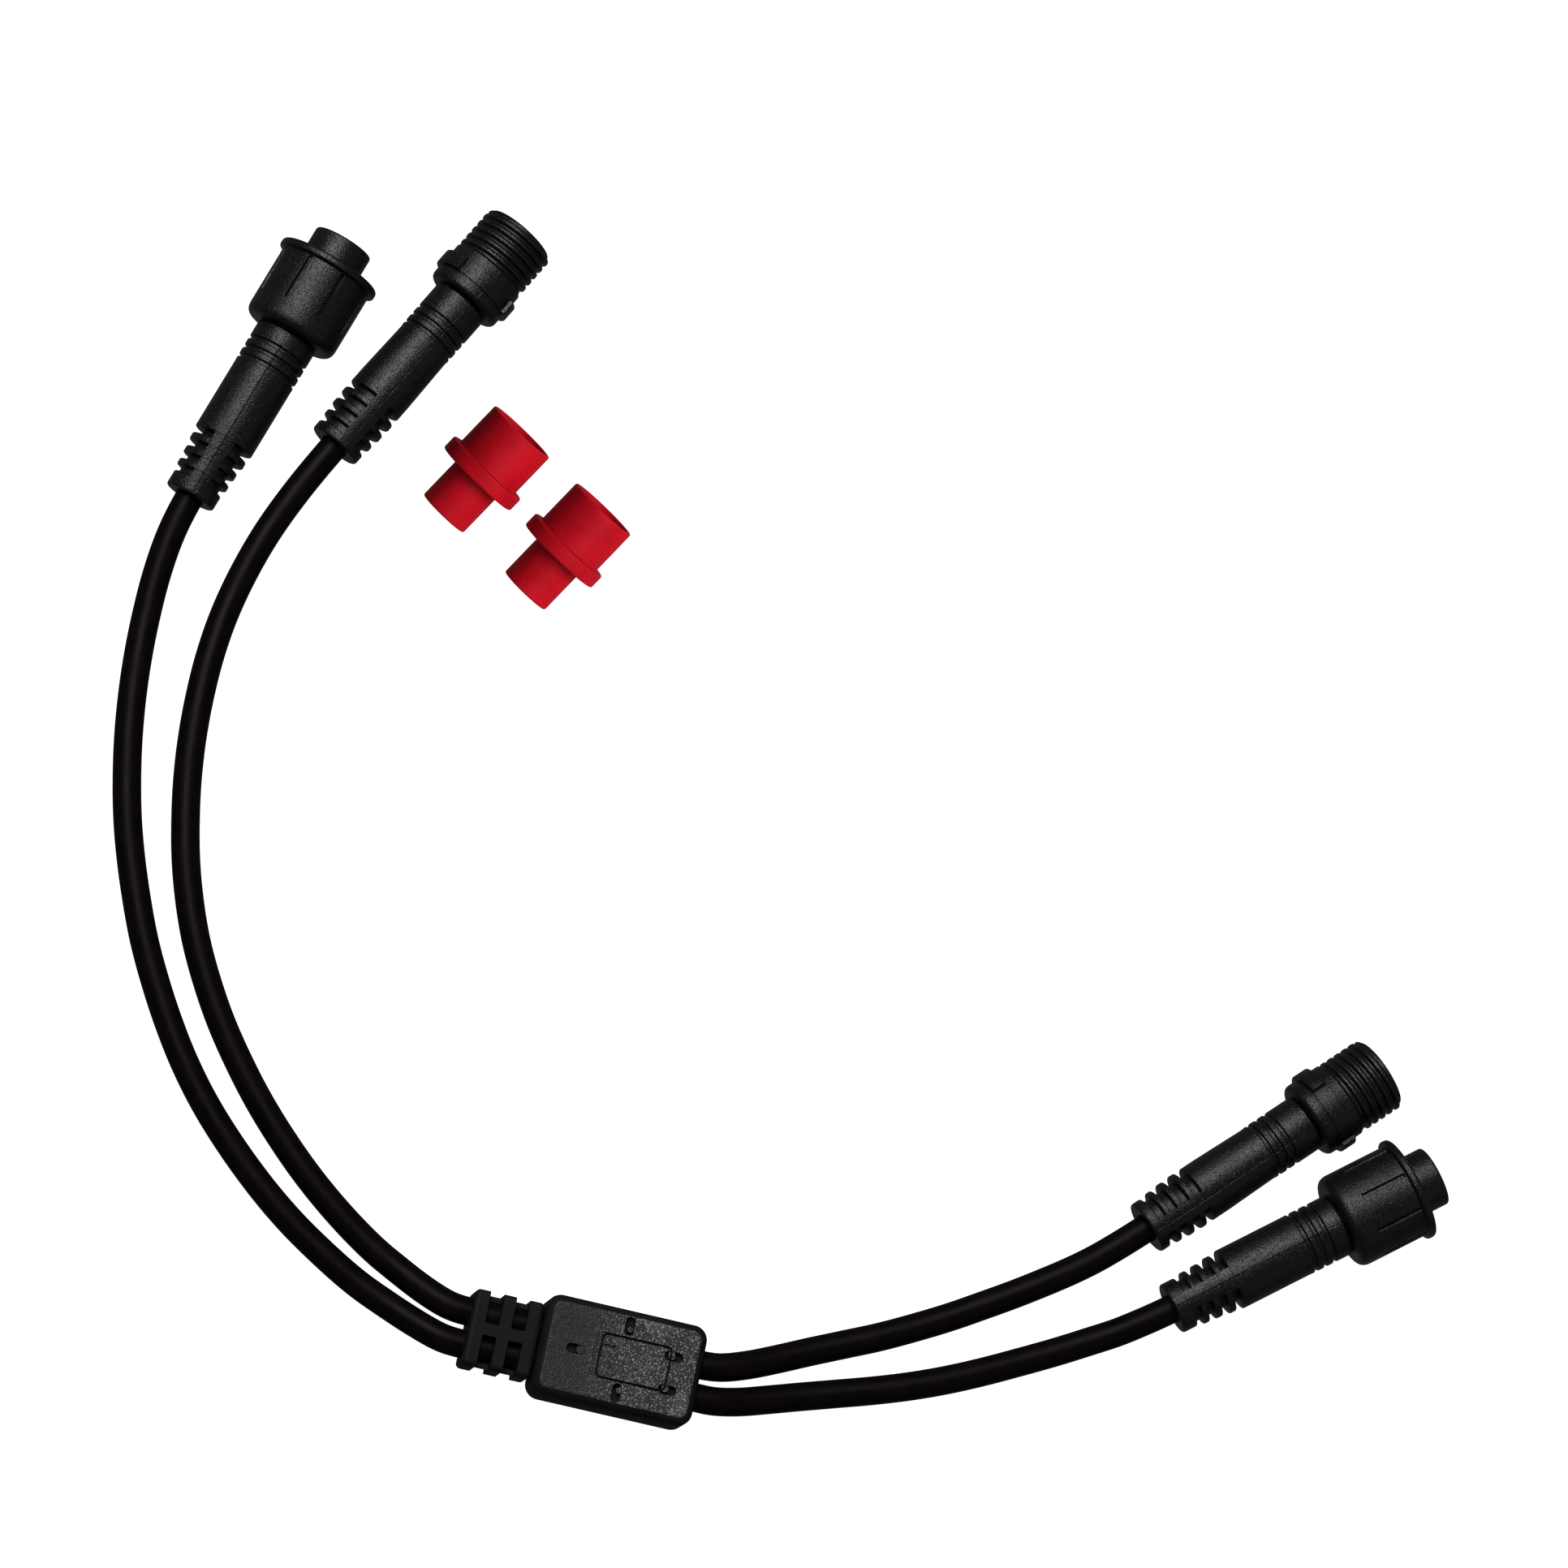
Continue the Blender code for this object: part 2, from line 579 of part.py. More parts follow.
def make_threaded_connector(name, parent, looks):
    make_grip(f"{name}_grip", parent, looks, [5.27, 5.5, 5.7, 5.79], [2.8, 5.4, 8.2, 11.0],
              (5.76, 5.52), 26.9, [27.5, 29.5, 31.4], 5.65, THREAD_GRIP_LENGTH, SHELL_REAR_HOLE_R)
    make_leads(name, parent, looks)
    make_threaded_shell(f"{name}_shell", parent, looks)

    step = SHELL_REAR + SHELL_REAR_WALL + GAP
    carrier = lathe(
        f"{name}_pin_carrier",
        [(CONTACT_TAIL + 1, CARRIER_STEM_R), (step, CARRIER_STEM_R), (step, CARRIER_R),
         (CARRIER_FACE, CARRIER_R)],
        16, looks["insulator"], parent)
    contact_bores(name, carrier, parent, looks["insulator"], PIN_R + GAP, (CONTACT_TAIL, CARRIER_FACE + 1))

    for pole, sign in (("plus", 1), ("minus", -1)):
        pin = lathe(
            f"{name}_pin_{pole}",
            [(CONTACT_TAIL, PIN_R), (PIN_TIP - 0.8, PIN_R), (PIN_TIP, PIN_R * 0.45)],
            10, looks["contact"], parent)
        pin.location = (0.0, sign * CONTACT_OFFSET * MM, 0.0)

    face = CARRIER_FACE + GAP
    lathe(f"{name}_gasket", [(face, 4.5), (face, CARRIER_R), (face + 0.7, CARRIER_R), (face + 0.7, 4.5)],
          16, looks["seal"], parent, True)


def make_threaded_shell(name, parent, looks):
    arc = [k * pi / 6 for k in range(4)]
    outside = [(SHELL_REAR + SHELL_SHOULDER_R * (1 - cos(a)), SHELL_R - SHELL_SHOULDER_R * (1 - sin(a)))
               for a in arc]
    collar_end = COLLAR_START + COLLAR_LENGTH
    outside += [(COLLAR_START - 0.1, SHELL_R), (COLLAR_START, COLLAR_R), (collar_end, COLLAR_R)]
    outside += [(collar_end + 0.3, SHELL_R), (THREAD_START - 0.3, SHELL_R)]
    turns = (THREAD_END - THREAD_START) / THREAD_PITCH
    rows = round(turns * 3)
    step = (THREAD_END - THREAD_START) / rows
    outside += [(THREAD_START + step * k, THREAD_ROOT_R) for k in range(rows + 1)]
    outside += [(SHELL_TIP, THREAD_ROOT_R - 0.15)]
    step = SHELL_REAR + SHELL_REAR_WALL
    inside = [(SHELL_TIP, SHELL_BORE_R), (step, SHELL_BORE_R)]
    inside += [(step, SHELL_REAR_HOLE_R), (SHELL_REAR, SHELL_REAR_HOLE_R)]

    def collar_and_thread(along, radius, angle):
        if COLLAR_START - 0.01 <= along <= collar_end + 0.01 and radius == COLLAR_R:
            lug = min(1.0, max(0.0, (abs(cos(angle)) - 0.5) * 4))
            return COLLAR_R + (COLLAR_LUG_R - COLLAR_R) * lug
        if THREAD_START <= along <= THREAD_END and radius == THREAD_ROOT_R:
            phase = ((along - THREAD_START) / THREAD_PITCH - angle / tau) % 1.0
            height = 1 - abs(2 * phase - 1)
            return THREAD_ROOT_R + (THREAD_CREST_R - THREAD_ROOT_R) * height
        return radius

    lathe(name, outside + inside, 18, looks["moulded"], parent, True, collar_and_thread)


def make_cap(name, parent, looks):
    flange_end = CAP_PLUG_LENGTH + CAP_FLANGE_LENGTH
    lathe(
        name,
        [(0, CAP_PLUG_R - 0.5), (0.5, CAP_PLUG_R), (CAP_PLUG_LENGTH, CAP_PLUG_R),
         (CAP_PLUG_LENGTH, CAP_FLANGE_R - 0.3), (CAP_PLUG_LENGTH + 0.3, CAP_FLANGE_R),
         (flange_end - 0.3, CAP_FLANGE_R), (flange_end, CAP_FLANGE_R - 0.3), (flange_end, CAP_CUP_R),
         (CAP_LENGTH - 0.3, CAP_CUP_R), (CAP_LENGTH, CAP_CUP_R - 0.3), (CAP_LENGTH, CAP_BORE_R + 0.2),
         (CAP_LENGTH - 0.2, CAP_BORE_R), (CAP_LENGTH - CAP_BORE_DEPTH, CAP_BORE_R)],
        24, looks["red_rubber"], parent)


# ---------------------------------------------------------------- placing


def axis_empty(name, place_xy, z, azimuth, tilt, roll=0.0):
    """An empty whose local +X is the piece's own axis, tipped up by tilt."""
    turn = Matrix.Rotation(radians(azimuth), 3, "Z") @ Matrix.Rotation(radians(-tilt), 3, "Y")
    turn = turn @ Matrix.Rotation(radians(roll), 3, "X")
    location = (place_xy[0] * MM, place_xy[1] * MM, z * MM)
    return add_empty(name, location, turn.to_euler())


def axis_points(connector, tilt, tail_z, distances):
    azimuth = radians(connector["azimuth"])
    lean = radians(tilt)
    way = Vector((cos(lean) * cos(azimuth), cos(lean) * sin(azimuth), sin(lean)))
    tail = Vector((*connector["tail"], tail_z))
    return [tuple(tail + way * distance) for distance in distances]


def make_cable(name, connector, looks):
    left = name in ("nut_a", "thread_a")
    side = 1 if name in ("thread_a", "thread_b") else -1
    y = side * CABLE_PITCH / 2
    inside_x = BLOCK_LENGTH / 2 - BLOCK_WALL - 0.5
    exit_x = BLOCK_LENGTH / 2 + (GAP + RELIEF_LENGTH if left else 0)
    sign = -1 if left else 1
    route = [(sign * inside_x, y, AXIS_Z), (sign * exit_x, y, AXIS_Z)]
    route += ROUTES[name]
    tilt, tail_z = (NUT_TILT, NUT_TAIL_Z) if connector["kind"] == "nut" else (THREAD_TILT, THREAD_TAIL_Z)
    route += axis_points(connector, tilt, tail_z, (0, JACKET_END))
    tube(f"{name}_cable", route, CABLE_R, CABLE_STEP, looks["jacket"])


def main():
    empty_scene()
    looks = {
        "moulded": material("moulded_black", (0.020, 0.021, 0.020), 0.55),
        "smooth": material("smooth_black", (0.018, 0.018, 0.018), 0.42),
        "jacket": material("cable_jacket", (0.022, 0.018, 0.020), 0.38),
        "insulator": material("insulator_grey", (0.10, 0.10, 0.10), 0.5),
        "copper": material("tinned_copper", (0.72, 0.70, 0.66), 0.3, 1.0),
        "contact": material("contact_brass", (0.80, 0.62, 0.28), 0.28, 1.0),
        "seal": material("seal_rubber", (0.03, 0.03, 0.03), 0.7),
        "red_core": material("red_insulation", (0.45, 0.02, 0.02), 0.45),
        "black_core": material("black_insulation", (0.02, 0.02, 0.02), 0.45),
        "red_rubber": material("red_rubber", (0.46, 0.008, 0.02), 0.6),
    }
    make_block(looks)
    make_strain_relief(looks)
    make_splices(looks)
    for name, connector in CONNECTORS.items():
        if connector["kind"] == "nut":
            axis = axis_empty(f"{name}_axis", connector["tail"], NUT_TAIL_Z, connector["azimuth"], NUT_TILT)
            make_nut_connector(name, axis, looks)
        else:
            axis = axis_empty(f"{name}_axis", connector["tail"], THREAD_TAIL_Z, connector["azimuth"],
                              THREAD_TILT, THREAD_ROLL)
            make_threaded_connector(name, axis, looks)
        make_cable(name, connector, looks)
    for name, cap in CAPS.items():
        height = CAP_PLUG_R * cos(radians(CAP_TILT)) + 0.02
        axis = axis_empty(f"{name}_axis", cap["small_end"], height, cap["azimuth"], CAP_TILT)
        make_cap(f"{name}_seal", axis, looks)


main()
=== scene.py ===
"""The looks of the solar cable connector: a two-in, two-out splitter lead with two loose red caps.

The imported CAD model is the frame.  Every visible piece is built again here at full detail, in its
connector's own axes, and rides on the CAD body that it belongs to.  Sizes are in millimetres
unless a name ends in _m; objects are in metres.
"""

import json
from math import atan, ceil, cos, pi, radians, sin, tau

import bmesh
import bpy
import numpy as np
from mathutils import Matrix, Vector


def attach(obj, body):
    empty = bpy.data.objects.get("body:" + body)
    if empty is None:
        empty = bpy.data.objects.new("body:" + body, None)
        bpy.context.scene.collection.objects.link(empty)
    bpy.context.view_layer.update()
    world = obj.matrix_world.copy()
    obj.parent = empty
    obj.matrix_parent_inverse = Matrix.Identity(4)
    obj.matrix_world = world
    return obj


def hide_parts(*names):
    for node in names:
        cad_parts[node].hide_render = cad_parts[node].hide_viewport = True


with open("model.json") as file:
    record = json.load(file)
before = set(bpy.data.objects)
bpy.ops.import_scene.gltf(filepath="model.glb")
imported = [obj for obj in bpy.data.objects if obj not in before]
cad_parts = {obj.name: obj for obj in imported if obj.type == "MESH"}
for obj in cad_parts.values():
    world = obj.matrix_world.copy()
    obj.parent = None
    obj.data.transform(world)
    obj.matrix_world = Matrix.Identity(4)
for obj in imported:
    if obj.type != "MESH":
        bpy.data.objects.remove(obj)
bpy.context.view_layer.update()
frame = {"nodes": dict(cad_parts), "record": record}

MM = 0.001

# Cable
CABLE_R = 2.7
CABLE_BORE_R = 2.78
CABLE_PITCH = 6.2
CABLE_STEP_M = 0.0016
JACKET_END = 19.4

# Splice block and its strain relief
BLOCK_LENGTH = 31.0
BLOCK_WIDTH = 19.2
BLOCK_HEIGHT = 10.5
BLOCK_CORNER_R = 2.8
BLOCK_EDGE_R = 1.8
BLOCK_WALL = 3.0
CAVITY_WIDTH = 14.0
CAVITY_HEIGHT = 6.4
AXIS_Z = BLOCK_HEIGHT / 2
PIT_LENGTH = 3.6
PIT_WIDTH = 1.8
PIT_DEPTH = 1.1
PANEL_LENGTH = 13.7
PANEL_WIDTH = 8.7
PANEL_X = 2.5
PANEL_CORNER_R = 1.2
PANEL_GROOVE = 0.42
GROOVE_DEPTH = 0.6
FINE_LINE_DEPTH = 0.22
STUB_DROP = 0.12
RELIEF_GAP = 0.3
RELIEF_LENGTH = 13.2
RELIEF_WIDTH = 14.4
RELIEF_HEIGHT = 8.5
SPINE_WIDTH = 2.3
WINDOW_LENGTH = 2.7
WINDOW_WEB = 1.0
WINDOW_CENTRES = (4.1, 9.1)
WINDOW_MARGIN = 0.4
RELIEF_CHAMFER = 0.13

# Connectors: places along the axis from the grip's tail, and radii
GRIP_STEP = 19.8
RIB_REACH = 1.3  # from a slot's middle to the top of the rib in front of it
RING_WIDTH = 0.84
RING_FLOOR = 0.58
RING_DEPTH = 0.48
SEAM_HALF_ANGLE = 1.5
SEAM_DEPTH = 0.15
CONTACT_OFFSET = 2.6
CONTACT_TAIL = 29.0

NUT_TILT = 5.93
NUT_TAIL_Z = 5.03
NUT_GRIP = {
    "radii": (5.04, 5.35, 5.5, 5.8), "slots": (3.7, 6.25, 9.0, 11.75), "slot_width": 1.35,
    "slot_floor_r": 4.2, "spine_half_angle": 21.6, "body": (6.07, 6.07),
    "grooves": (28.3, 30.3, 32.3), "neck_r": 6.12, "length": 36.0, "front_bore_r": 4.5,
}
NUT_REAR = 36.3
NUT_FRONT = NUT_REAR + 15.8
NUT_R = 9.35
NUT_FLANGE_R = 10.27
NUT_FLANGE = NUT_FRONT - 1.6
FLUTES = 8
FLUTE_START = 41.1
FLUTE_HALF_WIDTH = 0.43
FLUTE_DEPTH = 0.6
FLUTE_RAMP = 0.16
NUT_BORE_R = 7.4
NUT_MOUTH_R = 7.9
NUT_BORE_START = 41.2
NUT_CAVITY_START = 38.3
NUT_NECK_R = 5.7
NUT_THREAD_DEPTH = 0.32
BARREL_R = 5.9
BARREL_TIP = 57.2
BARREL_TAIL_R = 4.2
BARREL_NECK_R = 5.3
BARREL_FLANGE = 43.7
BARREL_FLANGE_END = BARREL_FLANGE + 1.4
BARREL_FLANGE_R = 7.0
SOCKET_R = 1.25
SOCKET_MOUTH_R = 1.08
SOCKET_TIP = BARREL_TIP - 0.8
SOCKET_FLOOR = BARREL_TIP - 8
SOCKET_BORE_R = 1.5
SEAL_RING = (45.4, 46.7, 6.0, 7.0)  # start, end, inner and outer radius
RETAINING_RING = (38.6, 39.4, 5.6, 7.0)

THREAD_TILT = 3.9
THREAD_TAIL_Z = 5.29
THREAD_ROLL = 17.0
THREAD_GRIP = {
    "radii": (5.27, 5.5, 5.7, 5.79), "slots": (2.8, 5.4, 8.2, 11.0), "slot_width": 1.5,
    "slot_floor_r": 4.35, "spine_half_angle": 18.0, "body": (5.76, 5.52),
    "grooves": (27.5, 29.5, 31.4), "neck_r": 5.65, "length": 37.2, "front_bore_r": 4.3,
}
SHELL_REAR = 37.5
SHELL_TIP = 55.0
SHELL_R = 7.64
COLLAR_START = 40.3
COLLAR_END = 43.2
COLLAR_R = 7.68
COLLAR_LUG_R = 8.5
LUG_HALF_ANGLE = 43.0
LUG_RAMP_ANGLE = 2.4
THREAD_START = 45.8
THREAD_END = 54.7
THREAD_PITCH = 1.65
THREAD_ROOT_R = 6.95
THREAD_CREST_R = 7.6
SHELL_BORE_R = 6.2
SHELL_FLOOR = 41.3
SHELL_REAR_BORE_R = 4.3
SHELL_SEAM = 0.04
CARRIER_REAR = 41.6
CARRIER_FACE = 44.0
CARRIER_R = 5.9
CARRIER_TAIL_R = 4.0
PIN_R = 1.0
PIN_TIP = 49.2
PIN_BORE_R = 1.15
GASKET = (CARRIER_FACE + 0.3, CARRIER_FACE + 1.0, 4.5, 5.9)

# Red cap
CAP_LENGTH = 21.7
CAP_PLUG_R = 5.23
CAP_PLUG_LENGTH = 9.2
CAP_FLANGE_R = 8.68
CAP_FLANGE_END = 12.2
CAP_CUP_R = 7.13
CAP_BORE_R = 6.1
CAP_BORE_FLOOR = 12.7
CAP_TILT = 20.7

CONNECTORS = {
    "nut_a": {"kind": "nut", "tail": (-113.1, 142.4), "azimuth": 72.0, "nut_turn": 19.5},
    "thread_a": {"kind": "thread", "tail": (-88.5, 158.8), "azimuth": 62.0},
    "thread_b": {"kind": "thread", "tail": (94.5, 47.9), "azimuth": 45.6},
    "nut_b": {"kind": "nut", "tail": (102.3, 33.9), "azimuth": 38.9, "nut_turn": 28.5},
}
CAPS = {
    "cap_a": {"small_end": (-65.4, 151.2), "azimuth": 58.5},
    "cap_b": {"small_end": (-47.1, 140.3), "azimuth": 58.6},
}

# Cable routes in metres, from the block's exit to the connector's tail
ROUTES_M = {
    "nut_a": [
        (-0.033, -0.0028, 0.0051), (-0.038, -0.0012, 0.0042), (-0.044, 0.0012, 0.0032),
        (-0.0505, 0.004, 0.00275), (-0.0575, 0.0078, 0.0027), (-0.065, 0.0125, 0.0027),
        (-0.072, 0.0178, 0.0027), (-0.0792, 0.0242, 0.0027), (-0.0855, 0.0307, 0.0027),
        (-0.0908, 0.0373, 0.0027), (-0.0953, 0.044, 0.0027), (-0.0994, 0.051, 0.0027),
        (-0.103, 0.058, 0.0027), (-0.106, 0.0651, 0.0027), (-0.1087, 0.0724, 0.0027),
        (-0.111, 0.0798, 0.0027), (-0.1128, 0.0874, 0.0027), (-0.1142, 0.095, 0.0027),
        (-0.1152, 0.1028, 0.0027), (-0.1158, 0.1107, 0.00275), (-0.116, 0.1187, 0.003),
        (-0.1158, 0.1269, 0.0036), (-0.1149, 0.135, 0.0043),
    ],
    "thread_a": [
        (-0.033, 0.0035, 0.0051), (-0.038, 0.0054, 0.0042), (-0.0438, 0.0083, 0.0032),
        (-0.049, 0.0111, 0.0028), (-0.056, 0.0157, 0.0027), (-0.063, 0.0211, 0.0027),
        (-0.0694, 0.0269, 0.0027), (-0.0754, 0.0331, 0.0027), (-0.0808, 0.0396, 0.0027),
        (-0.0857, 0.0463, 0.0027), (-0.0899, 0.0532, 0.0027), (-0.0935, 0.0602, 0.0027),
        (-0.0964, 0.0675, 0.0027), (-0.0987, 0.0749, 0.0027), (-0.1004, 0.0824, 0.0027),
        (-0.1017, 0.0901, 0.0027), (-0.1025, 0.0979, 0.0027), (-0.1028, 0.1058, 0.0027),
        (-0.1026, 0.1139, 0.00275), (-0.1017, 0.1222, 0.0029), (-0.0999, 0.1308, 0.0033),
        (-0.0972, 0.1397, 0.0039), (-0.0934, 0.1489, 0.0046),
    ],
    "thread_b": [
        (0.0195, 0.0035, 0.0051), (0.0245, 0.0052, 0.0043), (0.03, 0.0077, 0.0034),
        (0.036, 0.0106, 0.00285), (0.0423, 0.0135, 0.0027), (0.0488, 0.0165, 0.0027),
        (0.0553, 0.0199, 0.0027), (0.0612, 0.0232, 0.00285), (0.0669, 0.0267, 0.0032),
        (0.0723, 0.0301, 0.0036), (0.0775, 0.0336, 0.004), (0.0824, 0.0371, 0.00435),
        (0.0871, 0.0409, 0.0047),
    ],
    "nut_b": [
        (0.0195, -0.003, 0.0051), (0.0245, -0.0019, 0.0043), (0.03, -0.0001, 0.0034),
        (0.036, 0.0019, 0.00285), (0.0426, 0.004, 0.0027), (0.0492, 0.0061, 0.0027),
        (0.056, 0.0085, 0.0027), (0.0626, 0.0112, 0.0027), (0.0692, 0.0143, 0.0027),
        (0.0758, 0.0177, 0.00275), (0.0822, 0.0211, 0.003), (0.0882, 0.0245, 0.0035),
        (0.0938, 0.0278, 0.0041),
    ],
}


# ---------------------------------------------------------------- camera

PICTURE_TURN = 11.5
VIEW_TILT = 16.0
VIEW_TOWARDS = 225.0
VIEW_DISTANCE_M = 1.5
VIEW_TARGET_M = (0.010, 0.1168, 0.0)
VIEW_WIDTH_M = 0.29946


def make_camera():
    """A long lens almost overhead, displaced towards the picture's lower left."""
    away = radians(VIEW_TOWARDS + PICTURE_TURN)
    tilt = radians(VIEW_TILT)
    back = Vector((sin(tilt) * cos(away), sin(tilt) * sin(away), cos(tilt)))
    upward = radians(90 + PICTURE_TURN)
    right = Vector((cos(upward), sin(upward), 0)).cross(back).normalized()
    rotation = Matrix((right, back.cross(right), back)).transposed()
    data = bpy.data.cameras.new("camera")
    data.sensor_width = 36.0
    data.angle = 2 * atan(VIEW_WIDTH_M / 2 / VIEW_DISTANCE_M)
    camera = bpy.data.objects.new("camera", data)
    bpy.context.collection.objects.link(camera)
    place = Vector(VIEW_TARGET_M) + back * VIEW_DISTANCE_M
    camera.matrix_world = Matrix.Translation(place) @ rotation.to_4x4()
    bpy.context.scene.camera = camera


# ---------------------------------------------------------------- light

FLOOR_GLOW = 1.0
FLOOR_PALE = 0.04
FLOOR_SIZE_M = 6
WORLD_GLOW = 0.3
PICTURE_GAMMA = 0.78
LIGHT_DISTANCE_M = 1.6
LIGHTS = [
    # name, azimuth and height in degrees, size in metres, watts, whether it lights the caps
    ("key", 132, 63, (0.95, 0.95), 98, False),
    ("rim", 335, 30, (1.2, 0.5), 4, False),
    ("cap_key", 335, 58, (1.2, 1.2), 47, True),
]


# ---------------------------------------------------------------- materials

BLACK_SPECULAR = 0.14
JACKET_SPECULAR = 0.03


class Nodes:
    """Builds one material's nodes with short calls."""

    def __init__(self, name):
        self.material = bpy.data.materials.new(name)
        self.material.use_nodes = True
        self.tree = self.material.node_tree
        self.shader = self.tree.nodes["Principled BSDF"]
        self.place = self.add("ShaderNodeTexCoord").outputs["Object"]

    def add(self, kind, **settings):
        node = self.tree.nodes.new(kind)
        for key, value in settings.items():
            setattr(node, key, value)
        return node

    def link(self, source, target):
        self.tree.links.new(source, target)

    def noise(self, scale, detail=4.0, roughness=0.55):
        """Smooth noise; scale is in waves per metre."""
        node = self.add("ShaderNodeTexNoise")
        node.inputs["Scale"].default_value = scale
        node.inputs["Detail"].default_value = detail
        node.inputs["Roughness"].default_value = roughness
        self.link(self.place, node.inputs["Vector"])
        return node.outputs["Fac"]

    def grains(self, scale):
        """Pointed grains, each of its own height."""
        node = self.add("ShaderNodeTexVoronoi", feature="SMOOTH_F1")
        node.inputs["Scale"].default_value = scale
        node.inputs["Smoothness"].default_value = 0.35
        self.link(self.place, node.inputs["Vector"])
        return self.times(self.spread(node.outputs["Distance"], 1.0, 0.0, 0.03, 0.62),
                          self.spread(node.outputs["Color"], 0.15, 1.0, 0.2, 0.8))

    def spread(self, source, low, high, start=0.3, end=0.7):
        """The source's stretch from start to end, drawn out from low to high."""
        node = self.add("ShaderNodeMapRange")
        node.inputs["From Min"].default_value = start
        node.inputs["From Max"].default_value = end
        node.inputs["To Min"].default_value = low
        node.inputs["To Max"].default_value = high
        self.link(source, node.inputs["Value"])
        return node.outputs["Result"]

    def along_x(self, reach_mm, low, high):
        """Low to high between two places along the piece."""
        node = self.add("ShaderNodeSeparateXYZ")
        self.link(self.place, node.inputs["Vector"])
        return self.spread(node.outputs["X"], low, high, reach_mm[0] * MM, reach_mm[1] * MM)

    def combine(self, operation, first, second):
        node = self.add("ShaderNodeMath", operation=operation)
        self.link(first, node.inputs[0])
        self.link(second, node.inputs[1])
        return node.outputs["Value"]

    def plus(self, first, second):
        return self.combine("ADD", first, second)

    def times(self, first, second):
        return self.combine("MULTIPLY", first, second)

    def colours(self, source, dark, light, start=0.35, end=0.65):
        node = self.add("ShaderNodeValToRGB")
        node.color_ramp.elements[0].position = start
        node.color_ramp.elements[0].color = (*dark, 1)
        node.color_ramp.elements[1].position = end
        node.color_ramp.elements[1].color = (*light, 1)
        self.link(source, node.inputs["Fac"])
        self.link(node.outputs["Color"], self.shader.inputs["Base Color"])

    def rough(self, source, low, high):
        self.link(self.spread(source, low, high), self.shader.inputs["Roughness"])

    def bump(self, height, distance_mm, strength=1.0):
        node = self.add("ShaderNodeBump")
        node.inputs["Distance"].default_value = distance_mm * MM
        node.inputs["Strength"].default_value = strength
        self.link(height, node.inputs["Height"])
        self.link(node.outputs["Normal"], self.shader.inputs["Normal"])


def spark_eroded(name, dark, light, rough, grain_mm, depth_mm, painted_shade_x_mm=None, reach=(0.3, 0.9)):
    """Black plastic out of a spark-eroded mould: pointed grain over a slightly uneven gloss, with the
    grain's peaks painted lighter as glints.

    An X span in millimetres paints shade: the tone goes from faint at its first place to full at its
    second.
    """
    n = Nodes(name)
    peaks = n.grains(1000 / grain_mm)
    fine = n.noise(1600 / grain_mm, 1.0, 0.5)
    broad = n.noise(140, 3.0)
    # Colour: random broad tone, plus the grain's peaks painted lighter, which are painted glints on the
    # real grain.
    tint = n.plus(n.spread(broad, 0.08, 0.28), n.spread(peaks, 0.0, 0.72, 0.08, 0.62))
    # Painted shade: the colour is darkened towards -X, down to 0.3 of its tone.
    if painted_shade_x_mm:
        tint = n.times(tint, n.along_x(painted_shade_x_mm, 0.3, 1.0))
    n.colours(tint, dark, light, *reach)
    n.rough(broad, rough - 0.04, rough + 0.05)
    n.bump(n.plus(peaks, n.spread(fine, 0.0, 0.5)), depth_mm)
    n.shader.inputs["Specular IOR Level"].default_value = BLACK_SPECULAR
    return n.material


def satin_plastic(name, dark, light, rough, grain_mm=0.5, depth_mm=0.015, specular=BLACK_SPECULAR):
    """Smooth plastic or rubber out of a polished mould."""
    n = Nodes(name)
    fine = n.noise(1000 / grain_mm, 3.0)
    broad = n.noise(160, 3.0)
    n.colours(broad, dark, light)
    n.rough(broad, rough - 0.05, rough + 0.05)
    n.bump(fine, depth_mm)
    n.shader.inputs["Specular IOR Level"].default_value = specular
    return n.material


def cable_jacket(name):
    """Smooth extruded PVC: almost no grain, but a slow unevenness from the extruder."""
    n = Nodes(name)
    broad = n.noise(220, 3.0)
    fine = n.noise(2600, 2.0)
    n.colours(broad, (0.0016, 0.0008, 0.0011), (0.0025, 0.0014, 0.0018))
    n.rough(broad, 0.40, 0.48)
    n.bump(n.plus(n.spread(broad, 0, 0.8), n.spread(fine, 0, 0.2)), 0.03)
    n.shader.inputs["Specular IOR Level"].default_value = JACKET_SPECULAR
    return n.material


def red_rubber(name):
    """Matte silicone rubber that light soaks into a little."""
    n = Nodes(name)
    fine = n.noise(2400, 4.0, 0.65)
    broad = n.noise(120, 3.0)
    n.colours(n.plus(n.spread(broad, 0.1, 0.5), n.spread(fine, 0.0, 0.5)),
              (0.27, 0.0030, 0.010), (0.38, 0.0060, 0.018), 0.2, 0.8)
    n.rough(fine, 0.50, 0.62)
    n.bump(fine, 0.02)
    n.shader.inputs["Subsurface Weight"].default_value = 0.08
    n.shader.inputs["Subsurface Radius"].default_value = (0.0020, 0.0003, 0.0003)
    n.shader.inputs["Subsurface Scale"].default_value = 1.0
    n.shader.inputs["Specular IOR Level"].default_value = 0.1
    return n.material


def metal(name, dark, light, rough):
    """Turned or crimped contact metal with faint tool marks."""
    n = Nodes(name)
    marks = n.noise(5000, 2.0)
    broad = n.noise(400, 3.0)
    n.colours(broad, dark, light)
    n.rough(marks, rough, rough + 0.12)
    n.bump(marks, 0.006)
    n.shader.inputs["Metallic"].default_value = 1.0
    return n.material


def grey(value):
    return (value, value, value)


